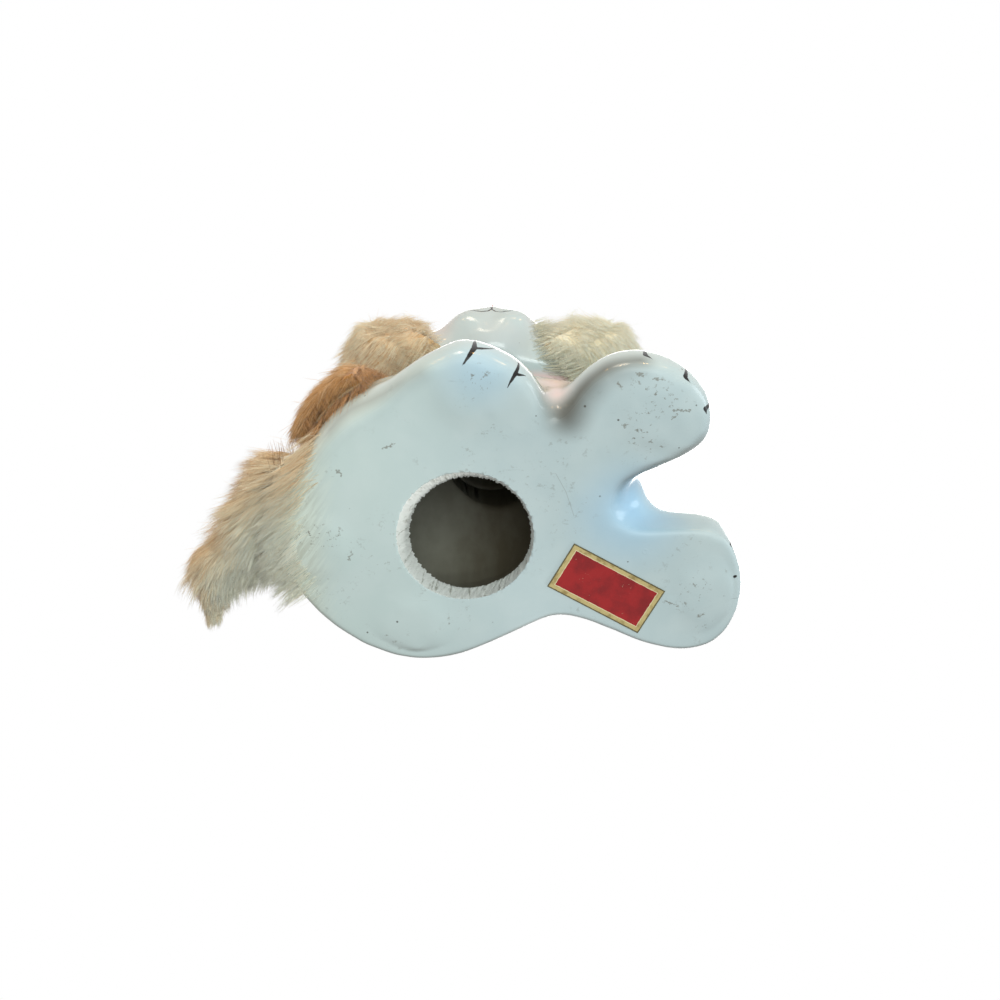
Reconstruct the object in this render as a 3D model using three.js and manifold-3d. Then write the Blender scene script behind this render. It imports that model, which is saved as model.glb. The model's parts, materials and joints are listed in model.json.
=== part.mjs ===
// Reclining cat figurine: a hollow slip-cast ceramic cat with strips of real fur on cheeks, back and tail.
// Millimetres, +Z up. The cat faces -Y, its forepaws reach towards +X and its tail lies towards -X.
// It is modelled about the centre of the drain hole in its base, then stood over the middle of its box.
import * as THREE from 'three';
import { LoftGeometry } from 'three/addons/geometries/LoftGeometry.js';
import { mergeVertices } from 'three/addons/utils/BufferGeometryUtils.js';
import Module from 'manifold-3d';

const wasm = await Module();
wasm.setup();

const at = (x, y, z) => new THREE.Vector3(x, y, z);
const flat = (x, y) => new THREE.Vector2(x, y);

// Main sizes
const BODY_LENGTH = 91; // sole, from the root of the tail to the far paw
const BODY_DEPTH = 64; // sole, from the hind paw to the back
const NECK_HEIGHT = 44; // slip joint with the head, above the table
const HEAD_WIDTH = 41; // skull, from side to side

// Places in the body and in the head, in hundredths of the main sizes
const inBody = (x, y, z) => at(x * BODY_LENGTH, y * BODY_DEPTH, z * NECK_HEIGHT).divideScalar(100);
const inHead = (x, y, z) => at(x, y, z).multiplyScalar(HEAD_WIDTH / 100);

// Ceramic walls and openings
const BODY_WALL = 5;
const HEAD_WALL = 4.5;
const NECK_WALL = 3.7;
const DRAIN_RADIUS = 13.9; // hand-cut hole at the underside
const DRAIN_TAPER = 1.55; // how much smaller the hole is at the inner face of the wall
const DRAIN_LEAN = at(1.1, 1.6, 0); // the knife leaned, so the inner edge lies to one side
const JOINT_GAP = 0.3; // line of slip between head and neck

// Fur pelts: a tanned hide glued to the glaze, with the pile standing on it
const GLUE = 0.6;
const HIDE = 1;
const CHEEK_PILE = 11;
const BACK_PILE = 5.5;
const PILE_AT_EDGE = 2.5;

// Foil paper label under the base
const LABEL_LENGTH = 20.9;
const LABEL_WIDTH = 10.6;
const LABEL_THICK = 0.15;
const LABEL_FROM_RIM = 6.15; // from the rim of the drain hole
const LABEL_BEARING = 22.4;
const LABEL_TURN = 29.5;
const LABEL_CLEAR = 0.3; // to the table below and to the glaze above
const LABEL_MARGIN = 1; // the base stays hollow this far round the label

// Base: the figurine rests on pads under its paws and its back, and is a little hollow between them
const BASE_RISE = LABEL_THICK + 2 * LABEL_CLEAR;
const PAD_RADIUS = 4.5;
const PAD_FADE = 3.5;
const PADS = [
  inBody(2, -45.5, 0), inBody(40.5, -39, 0), inBody(53.5, 20.5, 0),
  inBody(-11, 31, 0), inBody(-32, 4.5, 0),
];
const SOLE_HEIGHT = 11;
const SOLE_ROUND = 3.6;

// Outline of the sole, counter-clockwise from the root of the tail, in hundredths of its length and depth
const SOLE_OUTLINE = [
  [-40.5, 5.5], [-38.5, -12.5], [-32, -25], [-24.5, -36], [-13, -45], [-5, -53], [0, -57.5],
  [5, -55.5], [10, -51], [14.5, -44.5], [19, -38], [23, -42], [26.5, -48], [31, -52.5],
  [36, -54], [42, -52], [47.5, -46.5], [51, -39], [51, -31], [40.5, -23], [32, -15],
  [29, -8], [33, -1], [44, 2], [55, 0.5], [58.5, 9.5], [58.5, 27], [55.5, 36],
  [49, 39.5], [39, 36.5], [29.5, 31.5], [20.5, 28], [15, 31], [7.5, 36.5], [0, 41.5],
  [-7.5, 43.5], [-14.5, 42.5], [-22, 38.5], [-30.5, 29.5], [-36.5, 19],
];

// Clay masses of the torso
const BELLY = { centre: inBody(-4.5, -1, 38.5), radii: inBody(31, 37.5, 52.5) };
const HAUNCH = { centre: inBody(-12, -20.5, 34), radii: inBody(17, 19.5, 41) };
const CHEST = { centre: inBody(18.5, -8, 45.5), radii: inBody(21.5, 26.5, 45.5) };
const NECK_ROOT = { centre: inBody(7, -5.5, 61.5), radius: 18 };
const NECK_TOP = { centre: inBody(6, -3.5, 100), radius: 13.7 }; // the slip joint with the head lies here

// Clay masses of the limbs
const HIND_FOOT = { centre: inBody(0.5, -41.5, 12.5), radii: inBody(14.5, 13.5, 19.5) };
const NEAR_SHOULDER = { centre: inBody(18.5, -20.5, 47.5), radius: 9.5 };
const NEAR_WRIST = { centre: inBody(34, -34.5, 18), radius: 7.5 };
const NEAR_PAW = { centre: inBody(39.5, -37.5, 12.5), radii: inBody(11.5, 14, 19.5) };
const FAR_SHOULDER = { centre: inBody(23, 6, 47.5), radius: 10 };
const FAR_WRIST = { centre: inBody(42, 15.5, 20.5), radius: 8.5 };
const FAR_PAW = { centre: inBody(47.5, 18, 15), radii: inBody(11.5, 16.5, 21.5) };
const TAIL_ROOT = { centre: inBody(-26.5, 5.5, 30.5), radius: 9 };
const TAIL_TIP = { centre: inBody(-50, 9.5, 24.5), radius: 2.8 };
const LIMB_BLEND = 7;
const TORSO_BLEND = 9;

// Clay masses of the head, measured from the middle of the skull
const SKULL_RADII = inHead(50, 44, 45);
const NECK_SEAT = { centre: inHead(0, 15, -35.5), radius: NECK_TOP.radius }; // the slip joint with the body
const NAPE = { centre: inHead(0, 3.5, -7.5), radius: 15 };
const CHEEK = { centre: inHead(23, -19.5, -16), radii: inHead(24.5, 22, 22) };
const PAD = { centre: inHead(10, -41.5, -14.5), radii: inHead(13.5, 12, 11.5) };
const CHIN = { centre: inHead(0, -35.5, -25.5), radii: inHead(13.5, 12, 10) };
const BRIDGE_TOP = { centre: inHead(0, -33, 10), radius: 4.5 };
const BRIDGE_END = { centre: inHead(0, -46, -6.5), radius: 2.8 };
const FACE_BLEND = 4;

// Ears: a leaf that narrows to its tip and is scooped out at the front
const EAR_ROOT = inHead(22, 2.5, 19.5);
const EAR_TIP = inHead(41, 0, 68.5);
const EAR_WIDTH = 21;
const EAR_THICK = 9;
const EAR_TIP_THICK = 3;
const EAR_SCOOP = 3.4;
const EAR_TURN = 14; // the opening faces a little outwards

// Fineness of the surfaces
const BODY_CELL = 3;
const HEAD_CELL = 2.6;
const CAVITY_CELL = 4;
const THIN_FILL = 0.01; // depth of clay given to a filled grid corner
const ROUND_STEPS = 40;
const EAR_STEPS = 8;
const EAR_ROUND = 18;
const CHEEK_STEPS = 12;
const BACK_STEPS = 22;
const TAIL_STEPS = 10;
const PELT_ROWS = 8;
const PLUME_ROUND = 20;

const degrees = THREE.MathUtils.degToRad;
const lerp = THREE.MathUtils.lerp;
const smooth = THREE.MathUtils.smoothstep;
const { max, min, abs, hypot, cos, sin, PI } = Math;

// Materials
const finish = (color, roughness, metalness = 0) =>
  new THREE.MeshStandardMaterial({ color, roughness, metalness });
const glaze = finish(0xe9eced, 0.12);
const hide = finish(0xd8c4a2, 0.8);
const cheekFur = finish(0xd9bf94, 0.95);
const backFur = finish(0xb98d57, 0.95);
const tailFur = finish(0xd8b07c, 0.95);
const foil = finish(0x9c1a1c, 0.4, 0.3);

// Signed distances: negative in clay, positive in air
const ellipsoid = ({ centre, radii }) => (p) => {
  const x = p.x - centre.x;
  const y = p.y - centre.y;
  const z = p.z - centre.z;
  const near = hypot(x / radii.x, y / radii.y, z / radii.z);
  const steep = hypot(x / radii.x ** 2, y / radii.y ** 2, z / radii.z ** 2);
  return steep < 1e-9 ? -min(radii.x, radii.y, radii.z) : (near * (near - 1)) / steep;
};

const limb = (a, b) => {
  const axis = b.centre.clone().sub(a.centre);
  const length2 = axis.lengthSq();
  const offset = new THREE.Vector3();
  return (p) => {
    const along = THREE.MathUtils.clamp(offset.subVectors(p, a.centre).dot(axis) / length2, 0, 1);
    return offset.addScaledVector(axis, -along).length() - lerp(a.radius, b.radius, along);
  };
};

const mirrored = (field) => {
  const q = new THREE.Vector3();
  return (p) => field(q.set(abs(p.x), p.y, p.z));
};

// Clay masses flow into each other over a blend length
const flow = (blend, ...masses) => (p) => masses.reduce((d, mass) => softMin(d, mass(p), blend), Infinity);

function softMin(a, b, blend) {
  if (a === Infinity) return b;
  const share = max(blend - abs(a - b), 0) / blend;
  return min(a, b) - (share * share * blend) / 4;
}

// The sole: the outline standing SOLE_HEIGHT tall, with rounded edges
const soleCorners = SOLE_OUTLINE.map(([x, y]) => inBody(x, y, 0));
const soleOutline = new THREE.CatmullRomCurve3(soleCorners, true, 'centripetal')
  .getPoints(4 * soleCorners.length)
  .slice(0, -1);

function outlineDistance(x, y) {
  let nearest = Infinity;
  let inside = false;
  soleOutline.forEach((a, i) => {
    const b = soleOutline[(i + 1) % soleOutline.length];
    const ex = b.x - a.x;
    const ey = b.y - a.y;
    const t = THREE.MathUtils.clamp(((x - a.x) * ex + (y - a.y) * ey) / (ex * ex + ey * ey), 0, 1);
    nearest = min(nearest, hypot(x - a.x - t * ex, y - a.y - t * ey));
    if (a.y > y !== b.y > y && x < a.x + ((y - a.y) * ex) / ey) inside = !inside;
  });
  return inside ? -nearest : nearest;
}

function sole(p) {
  const out = outlineDistance(p.x, p.y) + SOLE_ROUND;
  const up = abs(p.z - baseHeight(p) - SOLE_HEIGHT / 2) - SOLE_HEIGHT / 2 + SOLE_ROUND;
  return hypot(max(out, 0), max(up, 0)) + min(max(out, up), 0) - SOLE_ROUND;
}

const labelBearing = degrees(LABEL_BEARING);
const labelCentre = flat(cos(labelBearing), sin(labelBearing))
  .multiplyScalar(DRAIN_RADIUS + LABEL_FROM_RIM + LABEL_LENGTH / 2);

function labelDistance(x, y) {
  const place = flat(x, y).rotateAround(labelCentre, -degrees(LABEL_TURN)).sub(labelCentre);
  return hypot(max(abs(place.x) - LABEL_LENGTH / 2, 0), max(abs(place.y) - LABEL_WIDTH / 2, 0));
}

function baseHeight(p) {
  const toPad = min(...PADS.map((pad) => hypot(p.x - pad.x, p.y - pad.y)));
  const offPads = smooth(toPad, PAD_RADIUS, PAD_RADIUS + PAD_FADE);
  const overLabel = 1 - smooth(labelDistance(p.x, p.y), LABEL_MARGIN, LABEL_MARGIN + PAD_FADE);
  return BASE_RISE * max(offPads, overLabel);
}

// Body and head as fields of clay
const trunk = flow(TORSO_BLEND, ellipsoid(BELLY), ellipsoid(HAUNCH), ellipsoid(CHEST));
const torso = flow(TORSO_BLEND, trunk, limb(NECK_ROOT, NECK_TOP));
const limbs = flow(
  LIMB_BLEND,
  sole,
  ellipsoid(HIND_FOOT),
  flow(LIMB_BLEND, limb(NEAR_SHOULDER, NEAR_WRIST), ellipsoid(NEAR_PAW)),
  flow(LIMB_BLEND, limb(FAR_SHOULDER, FAR_WRIST), ellipsoid(FAR_PAW)),
  limb(TAIL_ROOT, TAIL_TIP),
);
const bodyClay = (p) => max(softMin(torso(p), limbs(p), LIMB_BLEND), baseHeight(p) - p.z);
const bodyCavity = (p) => max(trunk(p) + BODY_WALL, BODY_WALL + BASE_RISE - p.z);

const SKULL = { centre: at(0, 0, 0), radii: SKULL_RADII };
const skull = ellipsoid(SKULL);
const face = flow(
  FACE_BLEND,
  mirrored(ellipsoid(CHEEK)),
  mirrored(ellipsoid(PAD)),
  ellipsoid(CHIN),
  limb(BRIDGE_TOP, BRIDGE_END),
);
const headClay = flow(FACE_BLEND, skull, limb(NAPE, NECK_SEAT), face);
const headCavity = (p) => skull(p) + HEAD_WALL;

// Room round a set of masses, with a few grid cells of air on each side
function room(masses, cell) {
  const box = new THREE.Box3();
  for (const { centre, radii, radius } of masses) {
    const reach = radii ?? at(radius, radius, radius);
    box.expandByPoint(centre.clone().sub(reach)).expandByPoint(centre.clone().add(reach));
  }
  return box.expandByScalar(2 * cell);
}

// Surface of a field as a closed mesh: one vertex in each grid cell that the surface crosses, pulled onto
// the surface, and one quad across each grid edge that runs from clay to air
function skin(field, box, cell) {
  const counts = box.getSize(at(0, 0, 0)).divideScalar(cell).ceil().addScalar(1).toArray();
  const [nx, ny, nz] = counts;
  const strides = [1, nx, nx * ny];
  const corner = (i, j, k) => at(i, j, k).multiplyScalar(cell).add(box.min);
  const values = new Float32Array(nx * ny * nz);
  for (let k = 0; k < nz; k++)
    for (let j = 0; j < ny; j++)
      for (let i = 0; i < nx; i++) values[i + j * nx + k * nx * ny] = field(corner(i, j, k));
  settle(values, strides);

  const places = [];
  const cellVertex = new Map();
  for (let k = 0; k < nz - 1; k++)
    for (let j = 0; j < ny - 1; j++)
      for (let i = 0; i < nx - 1; i++) {
        const place = crossing(values, strides, [i, j, k], corner);
        if (!place) continue;
        pull(place, field, cell);
        cellVertex.set(i + j * nx + k * nx * ny, places.length / 3);
        places.push(place.x, place.y, place.z);
      }

  const triangles = [];
  for (let axis = 0; axis < 3; axis++) {
    const side = strides[(axis + 1) % 3];
    const back = strides[(axis + 2) % 3];
    for (let n = 0; n + strides[axis] < values.length; n++) {
      const clay = values[n] < 0;
      if (clay === values[n + strides[axis]] < 0) continue;
      const [a, b, c, d] = [n - side - back, n - back, n, n - side].map((id) => cellVertex.get(id));
      if ([a, b, c, d].includes(undefined)) continue;
      triangles.push(...(clay ? [a, b, c, a, c, d] : [a, c, b, a, d, c]));
    }
  }
  return new THREE.BufferGeometry()
    .setAttribute('position', new THREE.Float32BufferAttribute(places, 3))
    .setIndex(triangles);
}

// Where the clay corners of a grid face meet only across its diagonal, the corner with the least air is
// filled, so that no edge of the skin is shared by two sheets of it
function settle(values, strides) {
  let filled = 1;
  while (filled) {
    filled = 0;
    for (let axis = 0; axis < 3; axis++) {
      const side = strides[axis];
      const back = strides[(axis + 1) % 3];
      for (let n = 0; n + side + back < values.length; n++) {
        const [a, b, c, d] = [n, n + side, n + side + back, n + back];
        const clay = values[a] < 0;
        if (clay !== values[c] < 0 || clay === values[b] < 0 || clay === values[d] < 0) continue;
        const [one, other] = clay ? [b, d] : [a, c];
        values[values[one] < values[other] ? one : other] = -THIN_FILL;
        filled++;
      }
    }
  }
}

// Mean of the points where the surface crosses the edges of one grid cell
function crossing(values, strides, cellIndex, corner) {
  const first = cellIndex.reduce((sum, index, axis) => sum + index * strides[axis], 0);
  const total = at(0, 0, 0);
  let found = 0;
  for (let axis = 0; axis < 3; axis++)
    for (let e = 0; e < 4; e++) {
      const shift = [0, 0, 0];
      shift[(axis + 1) % 3] = e & 1;
      shift[(axis + 2) % 3] = e >> 1;
      const start = first + shift.reduce((sum, step, a) => sum + step * strides[a], 0);
      const from = values[start];
      const to = values[start + strides[axis]];
      if (from < 0 === to < 0) continue;
      const point = cellIndex.map((index, a) => index + shift[a]);
      point[axis] += from / (from - to);
      total.add(corner(...point));
      found++;
    }
  return found ? total.divideScalar(found) : null;
}

// Newton steps along the slope of the field, held near the cell
function pull(place, field, cell) {
  const start = place.clone();
  for (let step = 0; step < 4; step++) {
    const slope = slopeAt(field, place);
    place.addScaledVector(slope, -field(place) / max(slope.lengthSq(), 0.1));
  }
  const moved = place.clone().sub(start).clampLength(0, 0.45 * cell);
  place.copy(start).add(moved);
}

function slopeAt(field, p) {
  const reach = 0.05;
  const probe = (x, y, z) => field(at(p.x + x, p.y + y, p.z + z));
  return at(
    probe(reach, 0, 0) - probe(-reach, 0, 0),
    probe(0, reach, 0) - probe(0, -reach, 0),
    probe(0, 0, reach) - probe(0, 0, -reach),
  ).divideScalar(2 * reach);
}

// Distance along a ray at which the air above a field is a given depth
function reach(field, origin, direction, level, far) {
  let inner = 0;
  let outer = far;
  for (let step = 0; step < 40; step++) {
    const middle = (inner + outer) / 2;
    if (field(origin.clone().addScaledVector(direction, middle)) < level) inner = middle;
    else outer = middle;
  }
  return (inner + outer) / 2;
}

// Solids for joining and cutting
function solid(geometry) {
  const bare = new THREE.BufferGeometry().setAttribute('position', geometry.getAttribute('position'));
  const merged = mergeVertices(bare.setIndex(geometry.index), 1e-4);
  const vertProperties = new Float32Array(merged.attributes.position.array);
  const triVerts = new Uint32Array(merged.index.array);
  return new wasm.Manifold(new wasm.Mesh({ numProp: 3, vertProperties, triVerts }));
}

function surface(made) {
  const { vertProperties, triVerts } = made.getMesh();
  return new THREE.BufferGeometry()
    .setAttribute('position', new THREE.Float32BufferAttribute(vertProperties, 3))
    .setIndex(new THREE.BufferAttribute(triVerts, 1));
}

const ring = (centre, radius, steps = ROUND_STEPS) =>
  Array.from({ length: steps }, (_, i) => {
    const turn = (2 * PI * i) / steps;
    return at(radius * cos(turn), radius * sin(turn), 0).add(centre);
  });

const cone = (low, lowRadius, high, highRadius) =>
  solid(new LoftGeometry([ring(low, lowRadius), ring(high, highRadius)], { capStart: true, capEnd: true }));

function block(low, high) {
  const size = high.clone().sub(low);
  const box = new THREE.BoxGeometry(size.x, size.y, size.z);
  return solid(box.translate(low.x + size.x / 2, low.y + size.y / 2, low.z + size.z / 2));
}

// Body casting: clay, less the cavity, the drain hole and everything above the slip joint
const JOINT_HEIGHT = NECK_TOP.centre.z;
const VENT_RADIUS = NECK_TOP.radius - NECK_WALL; // passage from the body into the head
const BODY_MASSES = [
  BELLY, HAUNCH, CHEST, NECK_ROOT, NECK_TOP, HIND_FOOT, NEAR_SHOULDER, NEAR_WRIST, NEAR_PAW,
  FAR_SHOULDER, FAR_WRIST, FAR_PAW, TAIL_ROOT, TAIL_TIP,
];
const BODY_ROOM = room(BODY_MASSES, BODY_CELL).union(new THREE.Box3().setFromPoints(soleCorners));
BODY_ROOM.expandByScalar(TORSO_BLEND / 2);

function bodyCasting() {
  const clay = solid(skin(bodyClay, BODY_ROOM, BODY_CELL));
  const cavity = solid(skin(bodyCavity, BODY_ROOM, CAVITY_CELL));
  const above = block(at(BODY_ROOM.min.x, BODY_ROOM.min.y, JOINT_HEIGHT), BODY_ROOM.max);
  const inner = BODY_WALL + BASE_RISE;
  const knife = (height) => DRAIN_LEAN.clone().multiplyScalar(height / inner).setZ(height);
  const narrowing = (height) => DRAIN_RADIUS - (DRAIN_TAPER * height) / inner;
  const drain = cone(knife(-inner), narrowing(-inner), knife(2 * inner), narrowing(2 * inner));
  const aboveJoint = NECK_TOP.centre.clone().setZ(JOINT_HEIGHT + 1);
  const vent = cone(NECK_ROOT.centre, VENT_RADIUS, aboveJoint, VENT_RADIUS);
  return surface(clay.subtract(cavity).subtract(drain).subtract(vent).subtract(above));
}

// Head casting, about the middle of its skull
const HEAD_MASSES = [SKULL, NECK_SEAT, NAPE, PAD, CHIN, BRIDGE_TOP, BRIDGE_END];
const HEAD_ROOM = room(HEAD_MASSES, HEAD_CELL).expandByScalar(FACE_BLEND);

function headCasting() {
  const under = NECK_SEAT.centre.z + JOINT_GAP;
  const clay = solid(skin(headClay, HEAD_ROOM, HEAD_CELL));
  const cavity = solid(skin(headCavity, HEAD_ROOM, CAVITY_CELL));
  const below = block(HEAD_ROOM.min, at(HEAD_ROOM.max.x, HEAD_ROOM.max.y, under));
  const vent = cone(NECK_SEAT.centre, VENT_RADIUS, SKULL.centre, VENT_RADIUS);
  const eared = clay.add(solid(ear(1))).add(solid(ear(-1)));
  return surface(eared.subtract(cavity).subtract(vent).subtract(below));
}

// An ear, lofted from the skull to its tip: round behind and scooped in front
function ear(side) {
  const axis = EAR_TIP.clone().sub(EAR_ROOT);
  const along = axis.clone().normalize();
  const turn = degrees(EAR_TURN);
  const across = at(cos(turn), sin(turn), 0).projectOnPlane(along).normalize();
  const rearward = along.clone().cross(across);
  const sections = [];
  for (let step = 0; step <= EAR_STEPS; step++) {
    const t = step / EAR_STEPS;
    const half = (EAR_WIDTH / 2) * (0.75 + 0.5 * t) * (1 - t) ** 0.75 + EAR_TIP_THICK / 2;
    const depth = lerp(EAR_THICK, EAR_TIP_THICK, t) / 2;
    const scoop = EAR_SCOOP * sin(PI * min(1, 0.25 + 0.75 * t));
    const section = ring(at(0, 0, 0), 1, EAR_ROUND).map((point) => {
      const hollowed = point.y < 0 ? scoop * (1 - point.x ** 2) : 0;
      return EAR_ROOT.clone().addScaledVector(axis, t)
        .addScaledVector(across, half * point.x)
        .addScaledVector(rearward, depth * point.y + hollowed);
    });
    sections.push(side > 0 ? section : section.map((point) => point.setX(-point.x)).reverse());
  }
  return new LoftGeometry(sections, { capStart: true, capEnd: true });
}

// A pelt: rows of rays leave a line of origins, and the strip lies between two depths of air above the clay
function pelt(ray, clay, steps, lower, upper) {
  const sections = [];
  for (let step = 0; step <= steps; step++) {
    const top = [];
    const bottom = [];
    for (let row = 0; row <= PELT_ROWS; row++) {
      const u = step / steps;
      const v = row / PELT_ROWS;
      const { origin, direction, far } = ray(u, v);
      const foot = reach(clay, origin, direction, lower, far);
      const head = foot + upper(u, v);
      bottom.push(origin.clone().addScaledVector(direction, foot));
      top.push(origin.clone().addScaledVector(direction, head));
    }
    sections.push([...top, ...bottom.reverse()]);
  }
  return strip(sections);
}

// Closed strip through rings of points; quads from the top row of a ring to its bottom row close each end
function strip(sections) {
  const round = sections[0].length;
  const last = round * (sections.length - 1);
  const triangles = [];
  const quad = (a, b, c, d) => triangles.push(a, b, c, a, c, d);
  for (let first = 0; first < last; first += round)
    for (let i = 0; i < round; i++) {
      const next = (i + 1) % round;
      quad(first + i, first + next, first + round + next, first + round + i);
    }
  for (let i = 0; i < round / 2 - 1; i++) {
    quad(i, round - 1 - i, round - 2 - i, i + 1);
    quad(last + i, last + i + 1, last + round - 2 - i, last + round - 1 - i);
  }
  return new THREE.BufferGeometry().setFromPoints(sections.flat()).setIndex(triangles);
}

const swell = (t) => sin(PI * t) ** 0.6;
const pile = (height, u, v) => lerp(PILE_AT_EDGE, height, swell(u) * swell(v));
const hideStrip = (ray, clay, steps) => pelt(ray, clay, steps, GLUE, () => HIDE);
const furStrip = (ray, clay, steps, height) => pelt(ray, clay, steps, 2 * GLUE + HIDE, height);

// Cheek rays fan out round the face: from beside the chin up to the ear, and from the face round to the nape
const CHEEK_FROM_CHIN = 42;
const CHEEK_FROM_NECK = 80;
const CHEEK_TO_EAR = 101;
const CHEEK_FRONT = 46;
const CHEEK_BACK = 140;
const RUFF_FLARE = 0.5; // below 1, the pile is longest towards the face
const fromFace = (side, v) => (side > 0 ? v : 1 - v);
const cheekPile = (side) => (u, v) => pile(CHEEK_PILE, u, fromFace(side, v) ** RUFF_FLARE);
const cheekRay = (side) => (u, v) => {
  const rearward = fromFace(side, v);
  const back = degrees(lerp(CHEEK_FRONT, CHEEK_BACK, rearward));
  const round = degrees(lerp(lerp(CHEEK_FROM_CHIN, CHEEK_FROM_NECK, rearward), CHEEK_TO_EAR, u));
  const direction = at(side * sin(round) * sin(back), -cos(back), -cos(round) * sin(back));
  return { origin: SKULL.centre, direction, far: HEAD_WIDTH };
};

// Back rays fan out from inside the belly, over the cat's back and its left flank
const BACK_FIRST = 78;
const BACK_LAST = 238;
const BACK_LOW_AT_FLANK = 3;
const BACK_LOW_AT_REAR = 32;
const BACK_OVER_TAIL = 40;
const BACK_HIGH = 56;
const BACK_CENTRE = inBody(-6.5, -4.5, 29.5);
const TAIL_TURN = 172;
const TAIL_SPAN = 38;
const backPile = (u, v) => pile(BACK_PILE, u, v);
const backRay = (u, v) => {
  const turn = lerp(BACK_LAST, BACK_FIRST, u);
  const besideTail = turn > TAIL_TURN ? BACK_LOW_AT_FLANK : BACK_LOW_AT_REAR;
  const low = lerp(BACK_OVER_TAIL, besideTail, smooth(abs(turn - TAIL_TURN), 0.4 * TAIL_SPAN, TAIL_SPAN));
  const climb = degrees(lerp(low, BACK_HIGH, v));
  const flatWay = at(cos(degrees(turn)), sin(degrees(turn)), 0);
  const direction = flatWay.multiplyScalar(cos(climb)).setZ(sin(climb));
  return { origin: BACK_CENTRE, direction, far: BODY_LENGTH };
};

// Tail rays leave the axis of the tail core; the hide is wrapped round it with a seam
const TAIL_FIRST = 0.7;
const TAIL_LAST = 0.97;
const TAIL_SEAM = 8;
const tailAxis = TAIL_TIP.centre.clone().sub(TAIL_ROOT.centre);
const tailAcross = at(0, 0, 1).cross(tailAxis).normalize();
const tailUp = tailAxis.clone().normalize().cross(tailAcross);
const tailRay = (u, v) => {
  const turn = degrees(lerp(-90 + TAIL_SEAM, 270 - TAIL_SEAM, v));
  const direction = tailAcross.clone().multiplyScalar(cos(turn)).addScaledVector(tailUp, sin(turn));
  const origin = TAIL_ROOT.centre.clone().addScaledVector(tailAxis, lerp(TAIL_FIRST, TAIL_LAST, u));
  return { origin, direction, far: BODY_DEPTH };
};

// The plume of the tail: a fat curved brush round the tail core, cut back from the clay and the hide
const PLUME_LINE = [
  inBody(-28.5, 3, 30.5), inBody(-36.5, 4, 29.5), inBody(-43.5, 6, 26),
  inBody(-49, 10.5, 24), inBody(-54, 16, 21.5), inBody(-56.5, 23, 18),
  inBody(-56, 35.5, 16),
];
const PLUME_HALF_WIDTHS = [13, 15, 11.8, 8.6, 6.6, 4.8, 1];
const PLUME_FLATTENING = 0.8;

function plume() {
  const line = new THREE.CatmullRomCurve3(PLUME_LINE);
  const widths = new THREE.SplineCurve(PLUME_HALF_WIDTHS.map((width, i) => flat(i, width)));
  const sections = [];
  for (let step = 0; step <= TAIL_STEPS; step++) {
    const t = step / TAIL_STEPS;
    const along = line.getTangent(t);
    const across = at(0, 0, 1).cross(along).normalize();
    const up = along.clone().cross(across);
    const half = widths.getPoint(t).y;
    const section = ring(at(0, 0, 0), half, PLUME_ROUND).map((point) =>
      line.getPoint(t).addScaledVector(across, point.x).addScaledVector(up, PLUME_FLATTENING * point.y),
    );
    sections.push(section);
  }
  const brush = solid(new LoftGeometry(sections, { capStart: true, capEnd: true }));
  const depth = 2 * GLUE + HIDE;
  const nearTail = (p) => max(bodyClay(p) - depth, p.x - BACK_CENTRE.x);
  return surface(brush.subtract(solid(skin(nearTail, BODY_ROOM, BODY_CELL))));
}

const mesh = (name, geometry, material) => Object.assign(new THREE.Mesh(geometry, material), { name });

// Label: a plain foil rectangle under the base
function label() {
  const outline = new THREE.Shape([
    flat(-LABEL_LENGTH / 2, -LABEL_WIDTH / 2), flat(LABEL_LENGTH / 2, -LABEL_WIDTH / 2),
    flat(LABEL_LENGTH / 2, LABEL_WIDTH / 2), flat(-LABEL_LENGTH / 2, LABEL_WIDTH / 2),
  ]);
  const sheet = new THREE.ExtrudeGeometry(outline, { depth: LABEL_THICK, bevelEnabled: false });
  const made = mesh('foil_label', sheet, foil);
  made.position.set(labelCentre.x, labelCentre.y, LABEL_CLEAR);
  made.rotation.z = degrees(LABEL_TURN);
  return made;
}

// Head with its cheek pelts
const head = new THREE.Group();
head.position.copy(NECK_TOP.centre).sub(NECK_SEAT.centre);
head.add(mesh('head_casting', headCasting(), glaze));
for (const [name, side] of [['left', -1], ['right', 1]]) {
  const ray = cheekRay(side);
  head.add(mesh(`cheek_hide_${name}`, hideStrip(ray, headClay, CHEEK_STEPS), hide));
  head.add(mesh(`cheek_fur_${name}`, furStrip(ray, headClay, CHEEK_STEPS, cheekPile(side)), cheekFur));
}

const figurine = new THREE.Group();
figurine.add(mesh('body_casting', bodyCasting(), glaze));
figurine.add(mesh('back_hide', hideStrip(backRay, bodyClay, BACK_STEPS), hide));
figurine.add(mesh('back_fur', furStrip(backRay, bodyClay, BACK_STEPS, backPile), backFur));
figurine.add(mesh('tail_hide', hideStrip(tailRay, bodyClay, TAIL_STEPS), hide));
figurine.add(mesh('tail_fur', plume(), tailFur));
figurine.add(head, label());

// Stand the figurine with the centre of its bounding box over the origin
const bounds = new THREE.Box3().setFromObject(figurine);
const middle = bounds.getCenter(at(0, 0, 0));
const placed = new THREE.Group();
figurine.position.set(-middle.x, -middle.y, -bounds.min.z);
placed.add(figurine);

export default placed;
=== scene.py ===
# %% [markdown]
# # A ceramic cat with real fur, seen from below
# The object is a hollow, white-glazed cat that is tipped over, so that the camera looks at its base: a flat
# sole with rounded edges, a drain hole that was cut with a knife, and a small foil label. Strips of tan fur
# are glued round the face, over the back and on the tail. This lesson dresses the solid model of it: it
# smooths the two castings into glazed ceramic, cuts the drain hole again as a knife leaves it, paints the
# claws and the face, and grows the fur hair by hair.

# %% Load the frame
import json
import math

import bmesh
import bpy
import numpy as np
from mathutils import Matrix, Vector
from mathutils.bvhtree import BVHTree


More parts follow.
